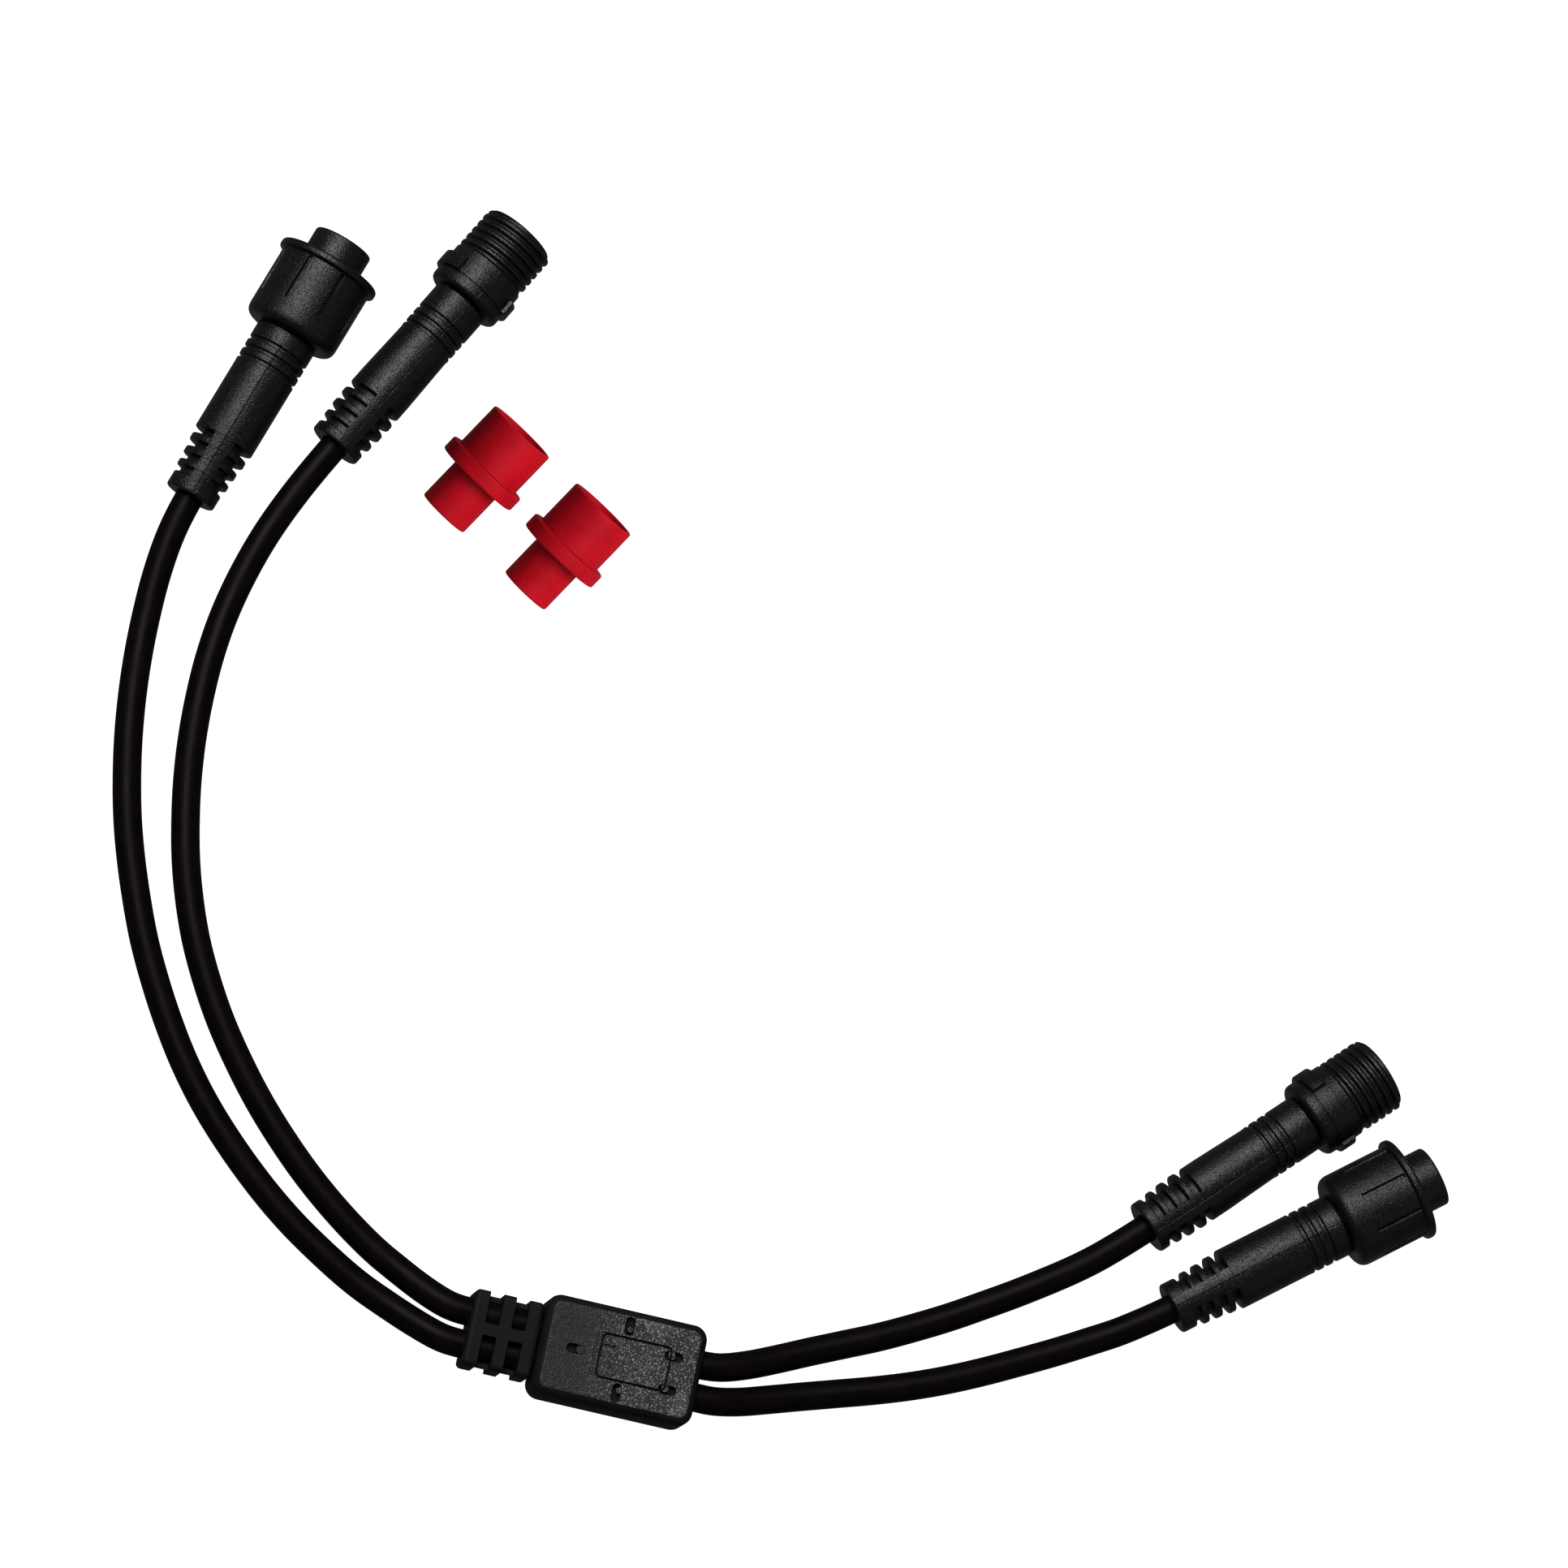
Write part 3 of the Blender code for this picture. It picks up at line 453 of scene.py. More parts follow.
LOOKS = {
    "moulded_black": spark_eroded(
        "moulded_black", (0.0024, 0.0025, 0.0025), (0.0085, 0.0087, 0.0086),
        rough=0.36, grain_mm=0.34, depth_mm=0.055),
    # The block's grain peaks reach a light grey: painted glints.
    "block_black": spark_eroded(
        "block_black", (0.0075, 0.0077, 0.0076), (0.118, 0.120, 0.118),
        # Painted shade darkens the block's upper face towards -X, from x = -9 mm to 1 mm.
        rough=0.40, grain_mm=0.33, depth_mm=0.11, painted_shade_x_mm=(-9.0, 1.0), reach=(0.17, 0.85)),
    "relief_black": satin_plastic(
        "relief_black", grey(0.0032), grey(0.0048), 0.52, grain_mm=0.4, depth_mm=0.02, specular=0.045),
    # Walls and sunk faces: a duller, finer-grained finish, and a colour darker than the block's top, which
    # is painted shade.
    "side_black": satin_plastic(
        "side_black", grey(0.0040), grey(0.0058), 0.60, depth_mm=0.02, specular=0.03),
    "smooth_black": satin_plastic("smooth_black", grey(0.0042), grey(0.0066), 0.42),
    "cable_jacket": cable_jacket("cable_jacket"),
    "insulator_grey": satin_plastic("insulator_grey", grey(0.05), grey(0.085), 0.5),
    "tinned_copper": metal("tinned_copper", (0.62, 0.60, 0.56), (0.78, 0.76, 0.72), 0.26),
    "contact_brass": metal("contact_brass", (0.70, 0.52, 0.22), (0.86, 0.68, 0.34), 0.20),
    "seal_rubber": satin_plastic(
        "seal_rubber", grey(0.016), grey(0.028), 0.65, grain_mm=0.2, depth_mm=0.02),
    "red_insulation": satin_plastic("red_insulation", (0.38, 0.015, 0.015), (0.48, 0.03, 0.03), 0.4),
    "black_insulation": satin_plastic("black_insulation", grey(0.010), grey(0.018), 0.4),
    "red_rubber": red_rubber("red_rubber"),
}
RECORD_SLOTS = {row["node"]: row["material_slot"] for row in frame["record"]["subparts"]}


# ---------------------------------------------------------------- mesh helpers

FLAT_MARGIN = 0.25
LEAST_CORNER = 0.12


def local_axes(place_xy, z, azimuth, tilt, roll=0.0):
    """The matrix of a piece whose own +X is its axis, tipped up by tilt."""
    turn = Matrix.Rotation(radians(azimuth), 4, "Z") @ Matrix.Rotation(radians(-tilt), 4, "Y")
    turn = turn @ Matrix.Rotation(radians(roll), 4, "X")
    return Matrix.Translation(Vector((*place_xy, z)) * MM) @ turn


def finish_mesh(name, mesh, looks, body, node, matrix=None, sharp=32):
    """Link the mesh as the piece that stands for a CAD node."""
    if matrix is not None:
        mesh.transform(matrix)
    mesh.shade_smooth()
    mesh.set_sharp_from_angle(angle=radians(sharp))
    piece = bpy.data.objects.new(name, mesh)
    bpy.context.collection.objects.link(piece)
    piece.data.materials.append(LOOKS[looks])
    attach(piece, body)
    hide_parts(node)
    return piece


def grid_mesh(name, rows, loop):
    """Rows of points, each row a ring, joined to the next; flat ends unless the rows loop."""
    points = np.array(rows, dtype=float) * MM
    count, sides = points.shape[:2]
    faces = []
    for a in range(count if loop else count - 1):
        b = (a + 1) % count
        for k in range(sides):
            n = (k + 1) % sides
            faces.append((a * sides + k, a * sides + n, b * sides + n, b * sides + k))
    if not loop:
        faces.append(tuple(range(sides)))
        faces.append(tuple(range(count * sides - 1, (count - 1) * sides - 1, -1)))
    bm = bmesh.new()
    scratch = bpy.data.meshes.new(name)
    scratch.from_pydata(points.reshape(-1, 3).tolist(), [], faces)
    bm.from_mesh(scratch)
    bmesh.ops.remove_doubles(bm, verts=bm.verts, dist=2e-6)
    bmesh.ops.dissolve_degenerate(bm, edges=bm.edges, dist=1e-6)
    bmesh.ops.recalc_face_normals(bm, faces=bm.faces)
    bm.to_mesh(scratch)
    bm.free()
    return scratch


def ease(points, loop=False, steps=5):
    """Round each corner of (along, radius, cut-back) points; returns (along, radius) points."""
    out = []
    count = len(points)
    for k, (x, r, cut) in enumerate(points):
        here = Vector((x, r))
        if cut <= 0 or (not loop and k in (0, count - 1)):
            out.append((x, r))
            continue
        before = Vector(points[k - 1][:2]) - here
        after = Vector(points[(k + 1) % count][:2]) - here
        a = here + before.normalized() * min(cut, before.length * 0.49)
        b = here + after.normalized() * min(cut, after.length * 0.49)
        for step in range(steps + 1):
            t = step / steps
            spot = a * (1 - t) ** 2 + here * 2 * t * (1 - t) + b * t**2
            out.append((spot.x, spot.y))
    return out


def both_ways(*offsets):
    """The offsets and their opposites, in order."""
    return sorted(set(offsets) | {-offset for offset in offsets})


def ring_angles(sides, extra=()):
    """Evenly spaced angles in degrees with closer ones added where an edge needs them."""
    angles = {round(360 * k / sides, 4) for k in range(sides)}
    for centre, offsets in extra:
        near = max(abs(o) for o in offsets)
        angles = {a for a in angles if abs((a - centre + 180) % 360 - 180) > near}
        angles |= {round((centre + o) % 360, 4) for o in offsets}
    return sorted(angles)


def turned_mesh(name, profile, angles, loop=False, shape=None):
    """The profile turned about X; shape(along, radius, turn) may change a point's radius."""
    rows = []
    for along, radius in profile:
        row = []
        for turn in angles:
            reach = shape(along, radius, turn) if shape else radius
            row.append((along, reach * cos(radians(turn)), reach * sin(radians(turn))))
        rows.append(row)
    return grid_mesh(name, rows, loop)


def outline(length, width, corner, steps=10):
    """A rectangle's outline with round corners."""
    points = []
    for quarter in range(4):
        cx = (length / 2 - corner) * (1 if quarter in (0, 3) else -1)
        cy = (width / 2 - corner) * (1 if quarter in (0, 1) else -1)
        for step in range(steps + 1):
            angle = pi / 2 * (quarter + step / steps)
            points.append((cx + corner * cos(angle), cy + corner * sin(angle)))
    return points


def slab_mesh(name, size, corner, edge, centre, steps=10, edge_steps=6):
    """A plate with rounded corners and rounded upper and lower edges."""
    length, width, height = size
    arc = [pi / 2 * k / edge_steps for k in range(edge_steps + 1)]
    levels = [(edge * (1 - sin(a)), edge * (1 - cos(a))) for a in arc]
    levels = [(edge + FLAT_MARGIN, 0.0)] + levels if edge else [(0.0, 0.0)]
    stack = levels + [(inset, height - z) for inset, z in reversed(levels)]
    rows = []
    for inset, z in stack:
        corner_here = max(corner - inset, min(corner, LEAST_CORNER))
        ring = outline(length - 2 * inset, width - 2 * inset, corner_here, steps)
        rows.append([(centre[0] + x, centre[1] + y, centre[2] + z) for x, y in ring])
    return grid_mesh(name, rows, False)


def applied(body):
    """The body's mesh with its modifiers worked in; the body itself goes."""
    bpy.context.view_layer.update()
    result = bpy.data.meshes.new_from_object(body.evaluated_get(bpy.context.evaluated_depsgraph_get()))
    result.name = body.data.name
    bpy.data.objects.remove(body, do_unlink=True)
    return result


def carve(mesh, cutters):
    """Cut meshes out of a mesh and leave no modifier or cutter behind."""
    body = bpy.data.objects.new("carved", mesh)
    bpy.context.collection.objects.link(body)
    tools = []
    for number, cutter in enumerate(cutters):
        tool = bpy.data.objects.new(f"cutter_{number}", cutter)
        bpy.context.collection.objects.link(tool)
        change = body.modifiers.new(tool.name, "BOOLEAN")
        change.operation = "DIFFERENCE"
        change.solver = "EXACT"
        change.object = tool
        tools.append(tool)
    result = applied(body)
    for tool in tools:
        bpy.data.objects.remove(tool, do_unlink=True)
    return result


def soften(mesh, width):
    """Bevel every sharp edge of a carved mesh."""
    body = bpy.data.objects.new("softened", mesh)
    bpy.context.collection.objects.link(body)
    change = body.modifiers.new("soften", "BEVEL")
    change.width = width * MM
    change.segments = 1
    change.limit_method = "ANGLE"
    change.angle_limit = radians(55)
    return applied(body)


def round_bar(start, end, radius, offset=(0.0, 0.0), sides=40):
    """A plain rod along X, used as a cutter."""
    rows = []
    for along in (start, end):
        ring = [tau * k / sides for k in range(sides)]
        rows.append([(along, offset[0] + radius * cos(a), offset[1] + radius * sin(a)) for a in ring])
    return grid_mesh("cutter", rows, False)


# ---------------------------------------------------------------- cables


def smooth_line(knots_m, step_m):
    """Points a step apart on a smooth curve through the knots; first and last runs are straight."""
    knots = [Vector(p) for p in knots_m]
    fine = [knots[0]]
    for k in range(1, len(knots) - 2):
        before, after = knots[k - 1], knots[k + 2]
        span = (knots[k + 1] - knots[k]).length
        start_slope = (knots[k + 1] - before) * span / ((knots[k] - before).length + span)
        end_slope = (after - knots[k]) * span / ((after - knots[k + 1]).length + span)
        for part in range(ceil(span / step_m)):
            t = part / ceil(span / step_m)
            fine.append(
                knots[k] * (2 * t**3 - 3 * t**2 + 1)
                + start_slope * (t**3 - 2 * t**2 + t)
                + knots[k + 1] * (3 * t**2 - 2 * t**3)
                + end_slope * (t**3 - t**2)
            )
    return fine + [knots[-2], knots[-1]]


def cable_route(name, connector):
    """From inside the block, out of its end, along the floor and into the grip."""
    left = name in ("nut_a", "thread_a")
    side = 1 if name in ("thread_a", "thread_b") else -1
    sign = -1 if left else 1
    y = side * CABLE_PITCH / 2 * MM
    z = AXIS_Z * MM
    inside = sign * (BLOCK_LENGTH / 2 - BLOCK_WALL - 0.5) * MM
    exit_x = sign * (BLOCK_LENGTH / 2 + (RELIEF_GAP + RELIEF_LENGTH if left else 0)) * MM
    tail, grip_end = (connector["axes"] @ Vector((s * MM, 0, 0)) for s in (0, JACKET_END))
    return [Vector((inside, y, z)), Vector((exit_x, y, z))] + ROUTES_M[name] + [tail, grip_end]


def make_cable(name, connector):
    """One jacketed cable; returns it with its exit from the block and its length in metres."""
    path = smooth_line(cable_route(name, connector), CABLE_STEP_M)
    curve = bpy.data.curves.new(f"{name}_lead", "CURVE")
    curve.dimensions = "3D"
    curve.bevel_depth = CABLE_R * MM
    curve.bevel_resolution = 10
    curve.use_fill_caps = True
    line = curve.splines.new("POLY")
    line.points.add(len(path) - 1)
    for point, place in zip(line.points, path):
        point.co = (*place, 1.0)
    line.use_smooth = True
    lead = bpy.data.objects.new(f"{name}_lead", curve)
    bpy.context.collection.objects.link(lead)
    lead.data.materials.append(LOOKS["cable_jacket"])
    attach(lead, "lead")
    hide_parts(f"{name}_cable")
    length = sum((b - a).length for a, b in zip(path, path[1:]))
    return lead, path[1], length


# ---------------------------------------------------------------- connector pieces


def envelope(ribs, along):
    """Radius of the spine's surface, which runs over the tops of the ribs."""
    for (x0, r0), (x1, r1) in zip(ribs, ribs[1:]):
        if along <= x1:
            share = (along - x0) / (x1 - x0)
            return r0 + (r1 - r0) * share
    return ribs[-1][1]


def make_grip(name, axes, form):
    """A moulded grip: slotted flexible tail, plain body, three narrow grooves, neck."""
    radii, slots, body, neck_r = form["radii"], form["slots"], form["body"], form["neck_r"]
    length, floor_r, half_angle = form["length"], form["slot_floor_r"], form["spine_half_angle"]
    outside = [(0.0, radii[0], 0.55)]
    for number, centre in enumerate(slots):
        near, far = centre - form["slot_width"] / 2, centre + form["slot_width"] / 2
        next_r = radii[number + 1] if number + 1 < len(radii) else body[0]
        outside += [(near - 0.06, radii[number], 0.24), (near + 0.06, floor_r, 0.12)]
        outside += [(far - 0.06, floor_r, 0.12), (far + 0.06, next_r, 0.22)]
    outside += [(slots[-1] + 4.2, body[0], 0), (form["grooves"][0] - 1.3, body[1], 0)]
    ring_floor = neck_r - RING_DEPTH
    for centre in form["grooves"]:
        outside += [(centre - RING_WIDTH / 2, neck_r, 0.2), (centre - RING_FLOOR / 2, ring_floor, 0.07)]
        outside += [(centre + RING_FLOOR / 2, ring_floor, 0.07), (centre + RING_WIDTH / 2, neck_r, 0.2)]
    outside += [(length, neck_r, 0.3)]
    bore_r = form["front_bore_r"]
    inside = [(length, bore_r, 0.1), (GRIP_STEP, bore_r, 0), (GRIP_STEP, CABLE_BORE_R, 0)]
    inside += [(0.0, CABLE_BORE_R, 0.2)]
    profile = ease(outside + inside, loop=True)
    first, last = slots[0] - 2.0, slots[-1] + RIB_REACH
    tops = zip(slots, (*radii[1:], body[0]))
    ribs = [(first, radii[0])] + [(centre + RIB_REACH, top) for centre, top in tops]

    def shape(along, radius, turn):
        from_top = min(abs(turn - 90), abs(turn - 270))
        outer = radius > CABLE_BORE_R + 0.9 and radius != bore_r and 0.5 < along < length - 0.5
        if outer and from_top < half_angle and first < along < last:
            radius = max(radius, envelope(ribs, along))
        if outer and from_top < SEAM_HALF_ANGLE:
            radius -= SEAM_DEPTH * (1 - from_top / SEAM_HALF_ANGLE)
        return radius

    extra = []
    for centre in (90, 270):
        extra += [(centre + side * half_angle, both_ways(0.35, 1.4)) for side in (-1, 1)]
        extra += [(centre, both_ways(0.3, SEAM_HALF_ANGLE, 1.7, 2.6))]
    mesh = turned_mesh(name, profile, ring_angles(80, extra), True, shape)
    return finish_mesh(f"{name}_body", mesh, "moulded_black", "lead", name, axes)


def make_coupling_nut(connector_name, axes, first_flute):
    """The captive nut: a round rear shoulder, flutes up to a front flange, turns inside."""
    name = f"{connector_name}_coupling_nut"
    outside = [(NUT_REAR, NUT_R, 2.7), (FLUTE_START - 0.5, NUT_R, 0)]
    outside += [(FLUTE_START - 0.2 + 0.12 * k, NUT_R, 0) for k in range(8)]
    outside += [(FLUTE_START + 3.4, NUT_R, 0), (NUT_FLANGE - 0.45, NUT_R, 0), (NUT_FLANGE, NUT_R, 0.3)]
    outside += [(NUT_FLANGE + 0.1, NUT_FLANGE_R, 0.42), (NUT_FRONT, NUT_FLANGE_R, 0.7)]
    inside = [(NUT_FRONT, NUT_MOUTH_R, 0.3), (NUT_FRONT - 0.5, NUT_BORE_R + 0.05, 0)]
    rows = 56
    start, end = NUT_FRONT - 0.7, NUT_BORE_START
    inside += [(start + (end - start) * k / rows, NUT_BORE_R, 0) for k in range(rows + 1)]
    inside += [(NUT_CAVITY_START, NUT_BORE_R, 0.1), (NUT_CAVITY_START, NUT_NECK_R, 0.1)]
    inside += [(NUT_REAR, NUT_NECK_R, 0.2)]
    profile = ease(outside + inside, loop=True, steps=7)
    pitch = 360 / FLUTES

    def shape(along, radius, turn):
        if abs(radius - NUT_R) < 0.001 and FLUTE_START - 0.01 < along < NUT_FLANGE - 0.4:
            off = abs((turn - first_flute + pitch / 2) % pitch - pitch / 2)
            reach = min(FLUTE_HALF_WIDTH - radians(off) * radius, along - FLUTE_START)
            radius -= FLUTE_DEPTH * min(1.0, max(0.0, reach / FLUTE_RAMP))
        if abs(radius - NUT_BORE_R) < 1e-6 and end <= along <= start:
            phase = ((along - end) / THREAD_PITCH - turn / 360) % 1.0
            fade = min(1.0, (along - end) / 1.0, (start - along) / 0.8)
            radius += NUT_THREAD_DEPTH * max(0.0, fade) * (1 - 2 * abs(2 * phase - 1))
        return radius

    flute = both_ways(0.0, 0.7, 1.5, 2.1, 2.5, 2.9, 3.4, 4.5)
    extra = [(first_flute + k * pitch, flute) for k in range(FLUTES)]
    mesh = turned_mesh(name, profile, ring_angles(96, extra), True, shape)
    body = f"{connector_name}_coupling"
    return finish_mesh(f"{name}_shell", mesh, "moulded_black", body, name, axes, sharp=36)


def contact_bores(start, end, radius):
    """Cutters for the two contacts' holes."""
    return [round_bar(start, end, radius, (side * CONTACT_OFFSET, 0)) for side in (-1, 1)]


def make_barrel(name, axes):
    """The socket insert: tail in the grip, flange inside the nut, round tip with two holes."""
    profile = ease([
        (CONTACT_TAIL - 1, 0.4, 0), (CONTACT_TAIL - 1, BARREL_TAIL_R, 0.2), (NUT_REAR, BARREL_TAIL_R, 0),
        (NUT_REAR, BARREL_NECK_R, 0), (BARREL_FLANGE, BARREL_NECK_R, 0.1),
        (BARREL_FLANGE, BARREL_FLANGE_R, 0.2), (BARREL_FLANGE_END, BARREL_FLANGE_R, 0.2),
        (BARREL_FLANGE_END, BARREL_R, 0.15), (BARREL_TIP, BARREL_R, 0.55), (BARREL_TIP, 5.0, 0),
        (BARREL_TIP, 0.4, 0)])
    mesh = turned_mesh(name, profile, ring_angles(96))
    bores = contact_bores(CONTACT_TAIL - 3, BARREL_TIP + 1, SOCKET_BORE_R)
    return finish_mesh(f"{name}_insert", carve(mesh, bores), "moulded_black", "lead", name, axes)


def make_contact(name, axes, sign, profile):
    """A turned pin or socket beside the axis."""
    place = axes @ Matrix.Translation((0, sign * CONTACT_OFFSET * MM, 0))
    mesh = turned_mesh(name, ease(profile), ring_angles(32))
    return finish_mesh(f"{name}_contact", mesh, "contact_brass", "lead", name, place)


def ring_piece(name, axes, span, looks, body, fillet=0.3):
    """A plain ring; span is its start, end, inner and outer radius."""
    start, end, inner, outer = span
    corners = [(start, inner), (start, outer), (end, outer), (end, inner)]
    profile = ease([(*corner, fillet) for corner in corners], True)
    mesh = turned_mesh(name, profile, ring_angles(72), True)
    return finish_mesh(f"{name}_band", mesh, looks, body, name, axes)


def make_nut_connector(name, axes):
    """All of one nut connector; returns what its cable carries, not the ring that moves alone."""
    made = [make_grip(f"{name}_grip", axes, NUT_GRIP)]
    made.append(make_barrel(f"{name}_barrel", axes))
    made.append(make_coupling_nut(name, axes, CONNECTORS[name]["nut_turn"]))
    for pole, sign in (("plus", 1), ("minus", -1)):
        profile = [
            (CONTACT_TAIL, 0.3, 0), (CONTACT_TAIL, SOCKET_R, 0.2), (SOCKET_TIP, SOCKET_R, 0.15),
            (SOCKET_TIP, SOCKET_MOUTH_R, 0.05), (SOCKET_FLOOR, 1.02, 0), (SOCKET_FLOOR, 0.3, 0)]
        made.append(make_contact(f"{name}_socket_{pole}", axes, sign, profile))
    made.append(ring_piece(f"{name}_seal_ring", axes, SEAL_RING, "seal_rubber", "lead", 0.5))
    retainer = f"{name}_retainer"
    ring_piece(f"{name}_retaining_ring", axes, RETAINING_RING, "insulator_grey", retainer, 0.15)
    return made


def thread_height(phase):
    """Rounded vee thread: flat crest, narrower root."""
    height = 1 - abs(2 * phase - 1)
    height = min(1.0, max(0.0, (height - 0.16) / 0.58))
    return height * height * (3 - 2 * height)


def make_shell(name, axes):
    """The threaded shell: rear shoulder, groove, collar with two lugs, helical thread, open mouth."""
    outside = [(SHELL_REAR, SHELL_R, 1.25), (COLLAR_START - 0.42, SHELL_R, 0.05)]
    outside += [(COLLAR_START - 0.36, SHELL_R - 0.24, 0.03), (COLLAR_START - 0.1, SHELL_R - 0.24, 0.03)]
    outside += [(COLLAR_START - 0.04, SHELL_R, 0), (COLLAR_START, COLLAR_R, 0.12)]
    outside += [(COLLAR_END, COLLAR_R, 0.12), (COLLAR_END + 0.2, SHELL_R, 0.0)]
    outside += [(THREAD_START - 0.45, SHELL_R, 0.15), (THREAD_START + 0.05, THREAD_ROOT_R, 0)]
    rows = 104
    span = THREAD_END - THREAD_START - 0.1
    outside += [(THREAD_START + 0.1 + span * k / rows, THREAD_ROOT_R, 0) for k in range(rows + 1)]
    outside += [(SHELL_TIP, THREAD_ROOT_R - 0.1, 0.15)]
    inside = [(SHELL_TIP, SHELL_BORE_R, 0.2), (SHELL_FLOOR, SHELL_BORE_R, 0)]
    inside += [(SHELL_FLOOR, SHELL_REAR_BORE_R, 0), (SHELL_REAR, SHELL_REAR_BORE_R, 0)]
    profile = ease(outside + inside, True)

    def shape(along, radius, turn):
        if COLLAR_START - 0.03 <= along <= COLLAR_END + 0.19 and radius > SHELL_R + 0.001:
            off = 90 - abs(90 - turn % 180)
            lug = min(1.0, max(0.0, (LUG_HALF_ANGLE - off) / LUG_RAMP_ANGLE))
            share = (radius - SHELL_R) / (COLLAR_R - SHELL_R)
            radius += (COLLAR_LUG_R - COLLAR_R) * lug * lug * (3 - 2 * lug) * share
        elif THREAD_START < along < SHELL_TIP - 0.2 and radius == THREAD_ROOT_R:
            phase = ((along - THREAD_START) / THREAD_PITCH - turn / 360) % 1.0
            lead_in = min(1.0, max(0.0, (along - THREAD_START - 0.05) / 0.5))
            lead_out = min(1.0, max(0.0, (THREAD_END + 0.05 - along) / 0.35))
            height = (THREAD_CREST_R - THREAD_ROOT_R) * thread_height(phase)
            radius += height * lead_in * lead_out
        elif along > SHELL_REAR + 0.3 and radius > SHELL_R - 0.05 and abs(turn - 90) < 0.5:
            radius += SHELL_SEAM
        return radius

    lug_edge = LUG_HALF_ANGLE - LUG_RAMP_ANGLE / 2
    lug_edges = [centre + side * lug_edge for centre in (0, 180) for side in (-1, 1)]
    extra = [(edge, both_ways(0, 0.4, 0.8, 1.2, 2.4)) for edge in lug_edges]
    extra += [(90, both_ways(0, 0.4, 0.8, 1.5))]
    mesh = turned_mesh(name, profile, ring_angles(128, extra), True, shape)
    return finish_mesh(f"{name}_thread", mesh, "moulded_black", "lead", name, axes, sharp=42)


def make_threaded_connector(name, axes):
    """All of one threaded connector; returns what its cable carries."""
    made = [make_grip(f"{name}_grip", axes, THREAD_GRIP)]
    made.append(make_shell(f"{name}_shell", axes))
    profile = ease([
        (CONTACT_TAIL + 1, 0.4, 0), (CONTACT_TAIL + 1, CARRIER_TAIL_R, 0.2),
        (CARRIER_REAR, CARRIER_TAIL_R, 0), (CARRIER_REAR, CARRIER_R, 0.1),
        (CARRIER_FACE, CARRIER_R, 0.3), (CARRIER_FACE, 0.4, 0)])
    mesh = turned_mesh(f"{name}_pin_carrier", profile, ring_angles(72))
    bores = contact_bores(CONTACT_TAIL - 2, CARRIER_FACE + 1, PIN_BORE_R)
    made.append(finish_mesh(f"{name}_pin_carrier_disc", carve(mesh, bores), "smooth_black", "lead",
                            f"{name}_pin_carrier", axes))
    for pole, sign in (("plus", 1), ("minus", -1)):
        pin = [
            (CONTACT_TAIL, 0.3, 0), (CONTACT_TAIL, PIN_R, 0.2), (PIN_TIP - 1.0, PIN_R, 0.6),
            (PIN_TIP, PIN_R * 0.5, 0.35), (PIN_TIP, 0.12, 0)]
        made.append(make_contact(f"{name}_pin_{pole}", axes, sign, pin))
    made.append(ring_piece(f"{name}_gasket", axes, GASKET, "seal_rubber", "lead"))
    return made


# ---------------------------------------------------------------- block and strain relief


def make_block():
    """The splice block: hollow body with cable holes, pits, panel grooves and a parting line."""
    size = (BLOCK_LENGTH, BLOCK_WIDTH, BLOCK_HEIGHT)
    mesh = slab_mesh("block_body", size, BLOCK_CORNER_R, BLOCK_EDGE_R, (0, 0, 0))
    cavity = (BLOCK_LENGTH - 2 * BLOCK_WALL, CAVITY_WIDTH, CAVITY_HEIGHT)
    cutters = [slab_mesh("cutter", cavity, 0.4, 0, (0, 0, AXIS_Z - CAVITY_HEIGHT / 2), 2)]
    wall_inside = BLOCK_LENGTH / 2 - BLOCK_WALL - 1
    for side in (-1, 1):
        for ends in ((-BLOCK_LENGTH / 2 - 1, -wall_inside), (wall_inside, BLOCK_LENGTH / 2 + 1)):
            cutters.append(round_bar(*ends, CABLE_BORE_R, (side * CABLE_PITCH / 2, AXIS_Z)))
    cutters += pit_cutters() + panel_grooves() + [seam_groove()]
    shell = finish_mesh("block_shell", carve(mesh, cutters), "block_black", "lead", "block_body", sharp=30)
    dull_and_shade_sides(shell, BLOCK_HEIGHT)


def pit_cutters():
    """Five oblong pits, each with the stub of a core pin standing in it."""
    beside = PANEL_WIDTH / 2 + 2.05
    rear, front = PANEL_X - PANEL_LENGTH / 2, PANEL_X + PANEL_LENGTH / 2
    pits = [  # place, turned across, place and radius of the stub
        (rear - 4.4, 0.0, False, 0.95, 0.0, 0.78),
        (rear + 4.75, beside, True, 0.25, -0.65, 0.5),
        (rear + 4.75, -beside, True, 0.5, 0.55, 0.62),
        (front + 0.3, PANEL_WIDTH / 2 - 1.7, False, -0.35, 0.12, 0.75),
        (front + 0.3, 0.6 - PANEL_WIDTH / 2, False, -0.4, 0.25, 0.7),
    ]
    low = BLOCK_HEIGHT - PIT_DEPTH
    cutters = []
    for x, y, turned, stub_x, stub_y, stub_r in pits:
        length, width = (PIT_WIDTH, PIT_LENGTH) if turned else (PIT_LENGTH, PIT_WIDTH)
        pit_size = (length, width, 2 * PIT_DEPTH)
        pit = slab_mesh("cutter", pit_size, PIT_WIDTH / 2 - 0.02, 0.2, (x, y, low), 8, 3)
        stub_size = (2 * stub_r, 2 * stub_r, PIT_DEPTH - STUB_DROP + 0.5)
        stub = slab_mesh("stub", stub_size, stub_r - 0.01, 0, (x + stub_x, y + stub_y, low - 0.5), 6)
        cutters.append(carve(pit, [stub]))
    return cutters


def dull_and_shade_sides(piece, upper_z=None):
    """Give the walls, and any face sunk below the upper one, a smoother and duller finish; on the block
    their darker colour is painted shade.
    """
    piece.data.materials.append(LOOKS["side_black"])
    for face in piece.data.polygons:
        sunk = upper_z is not None and AXIS_Z * MM < face.center.z < (upper_z - 0.25) * MM
        if abs(face.normal.z) < 0.97 or sunk:
            face.material_index = 1


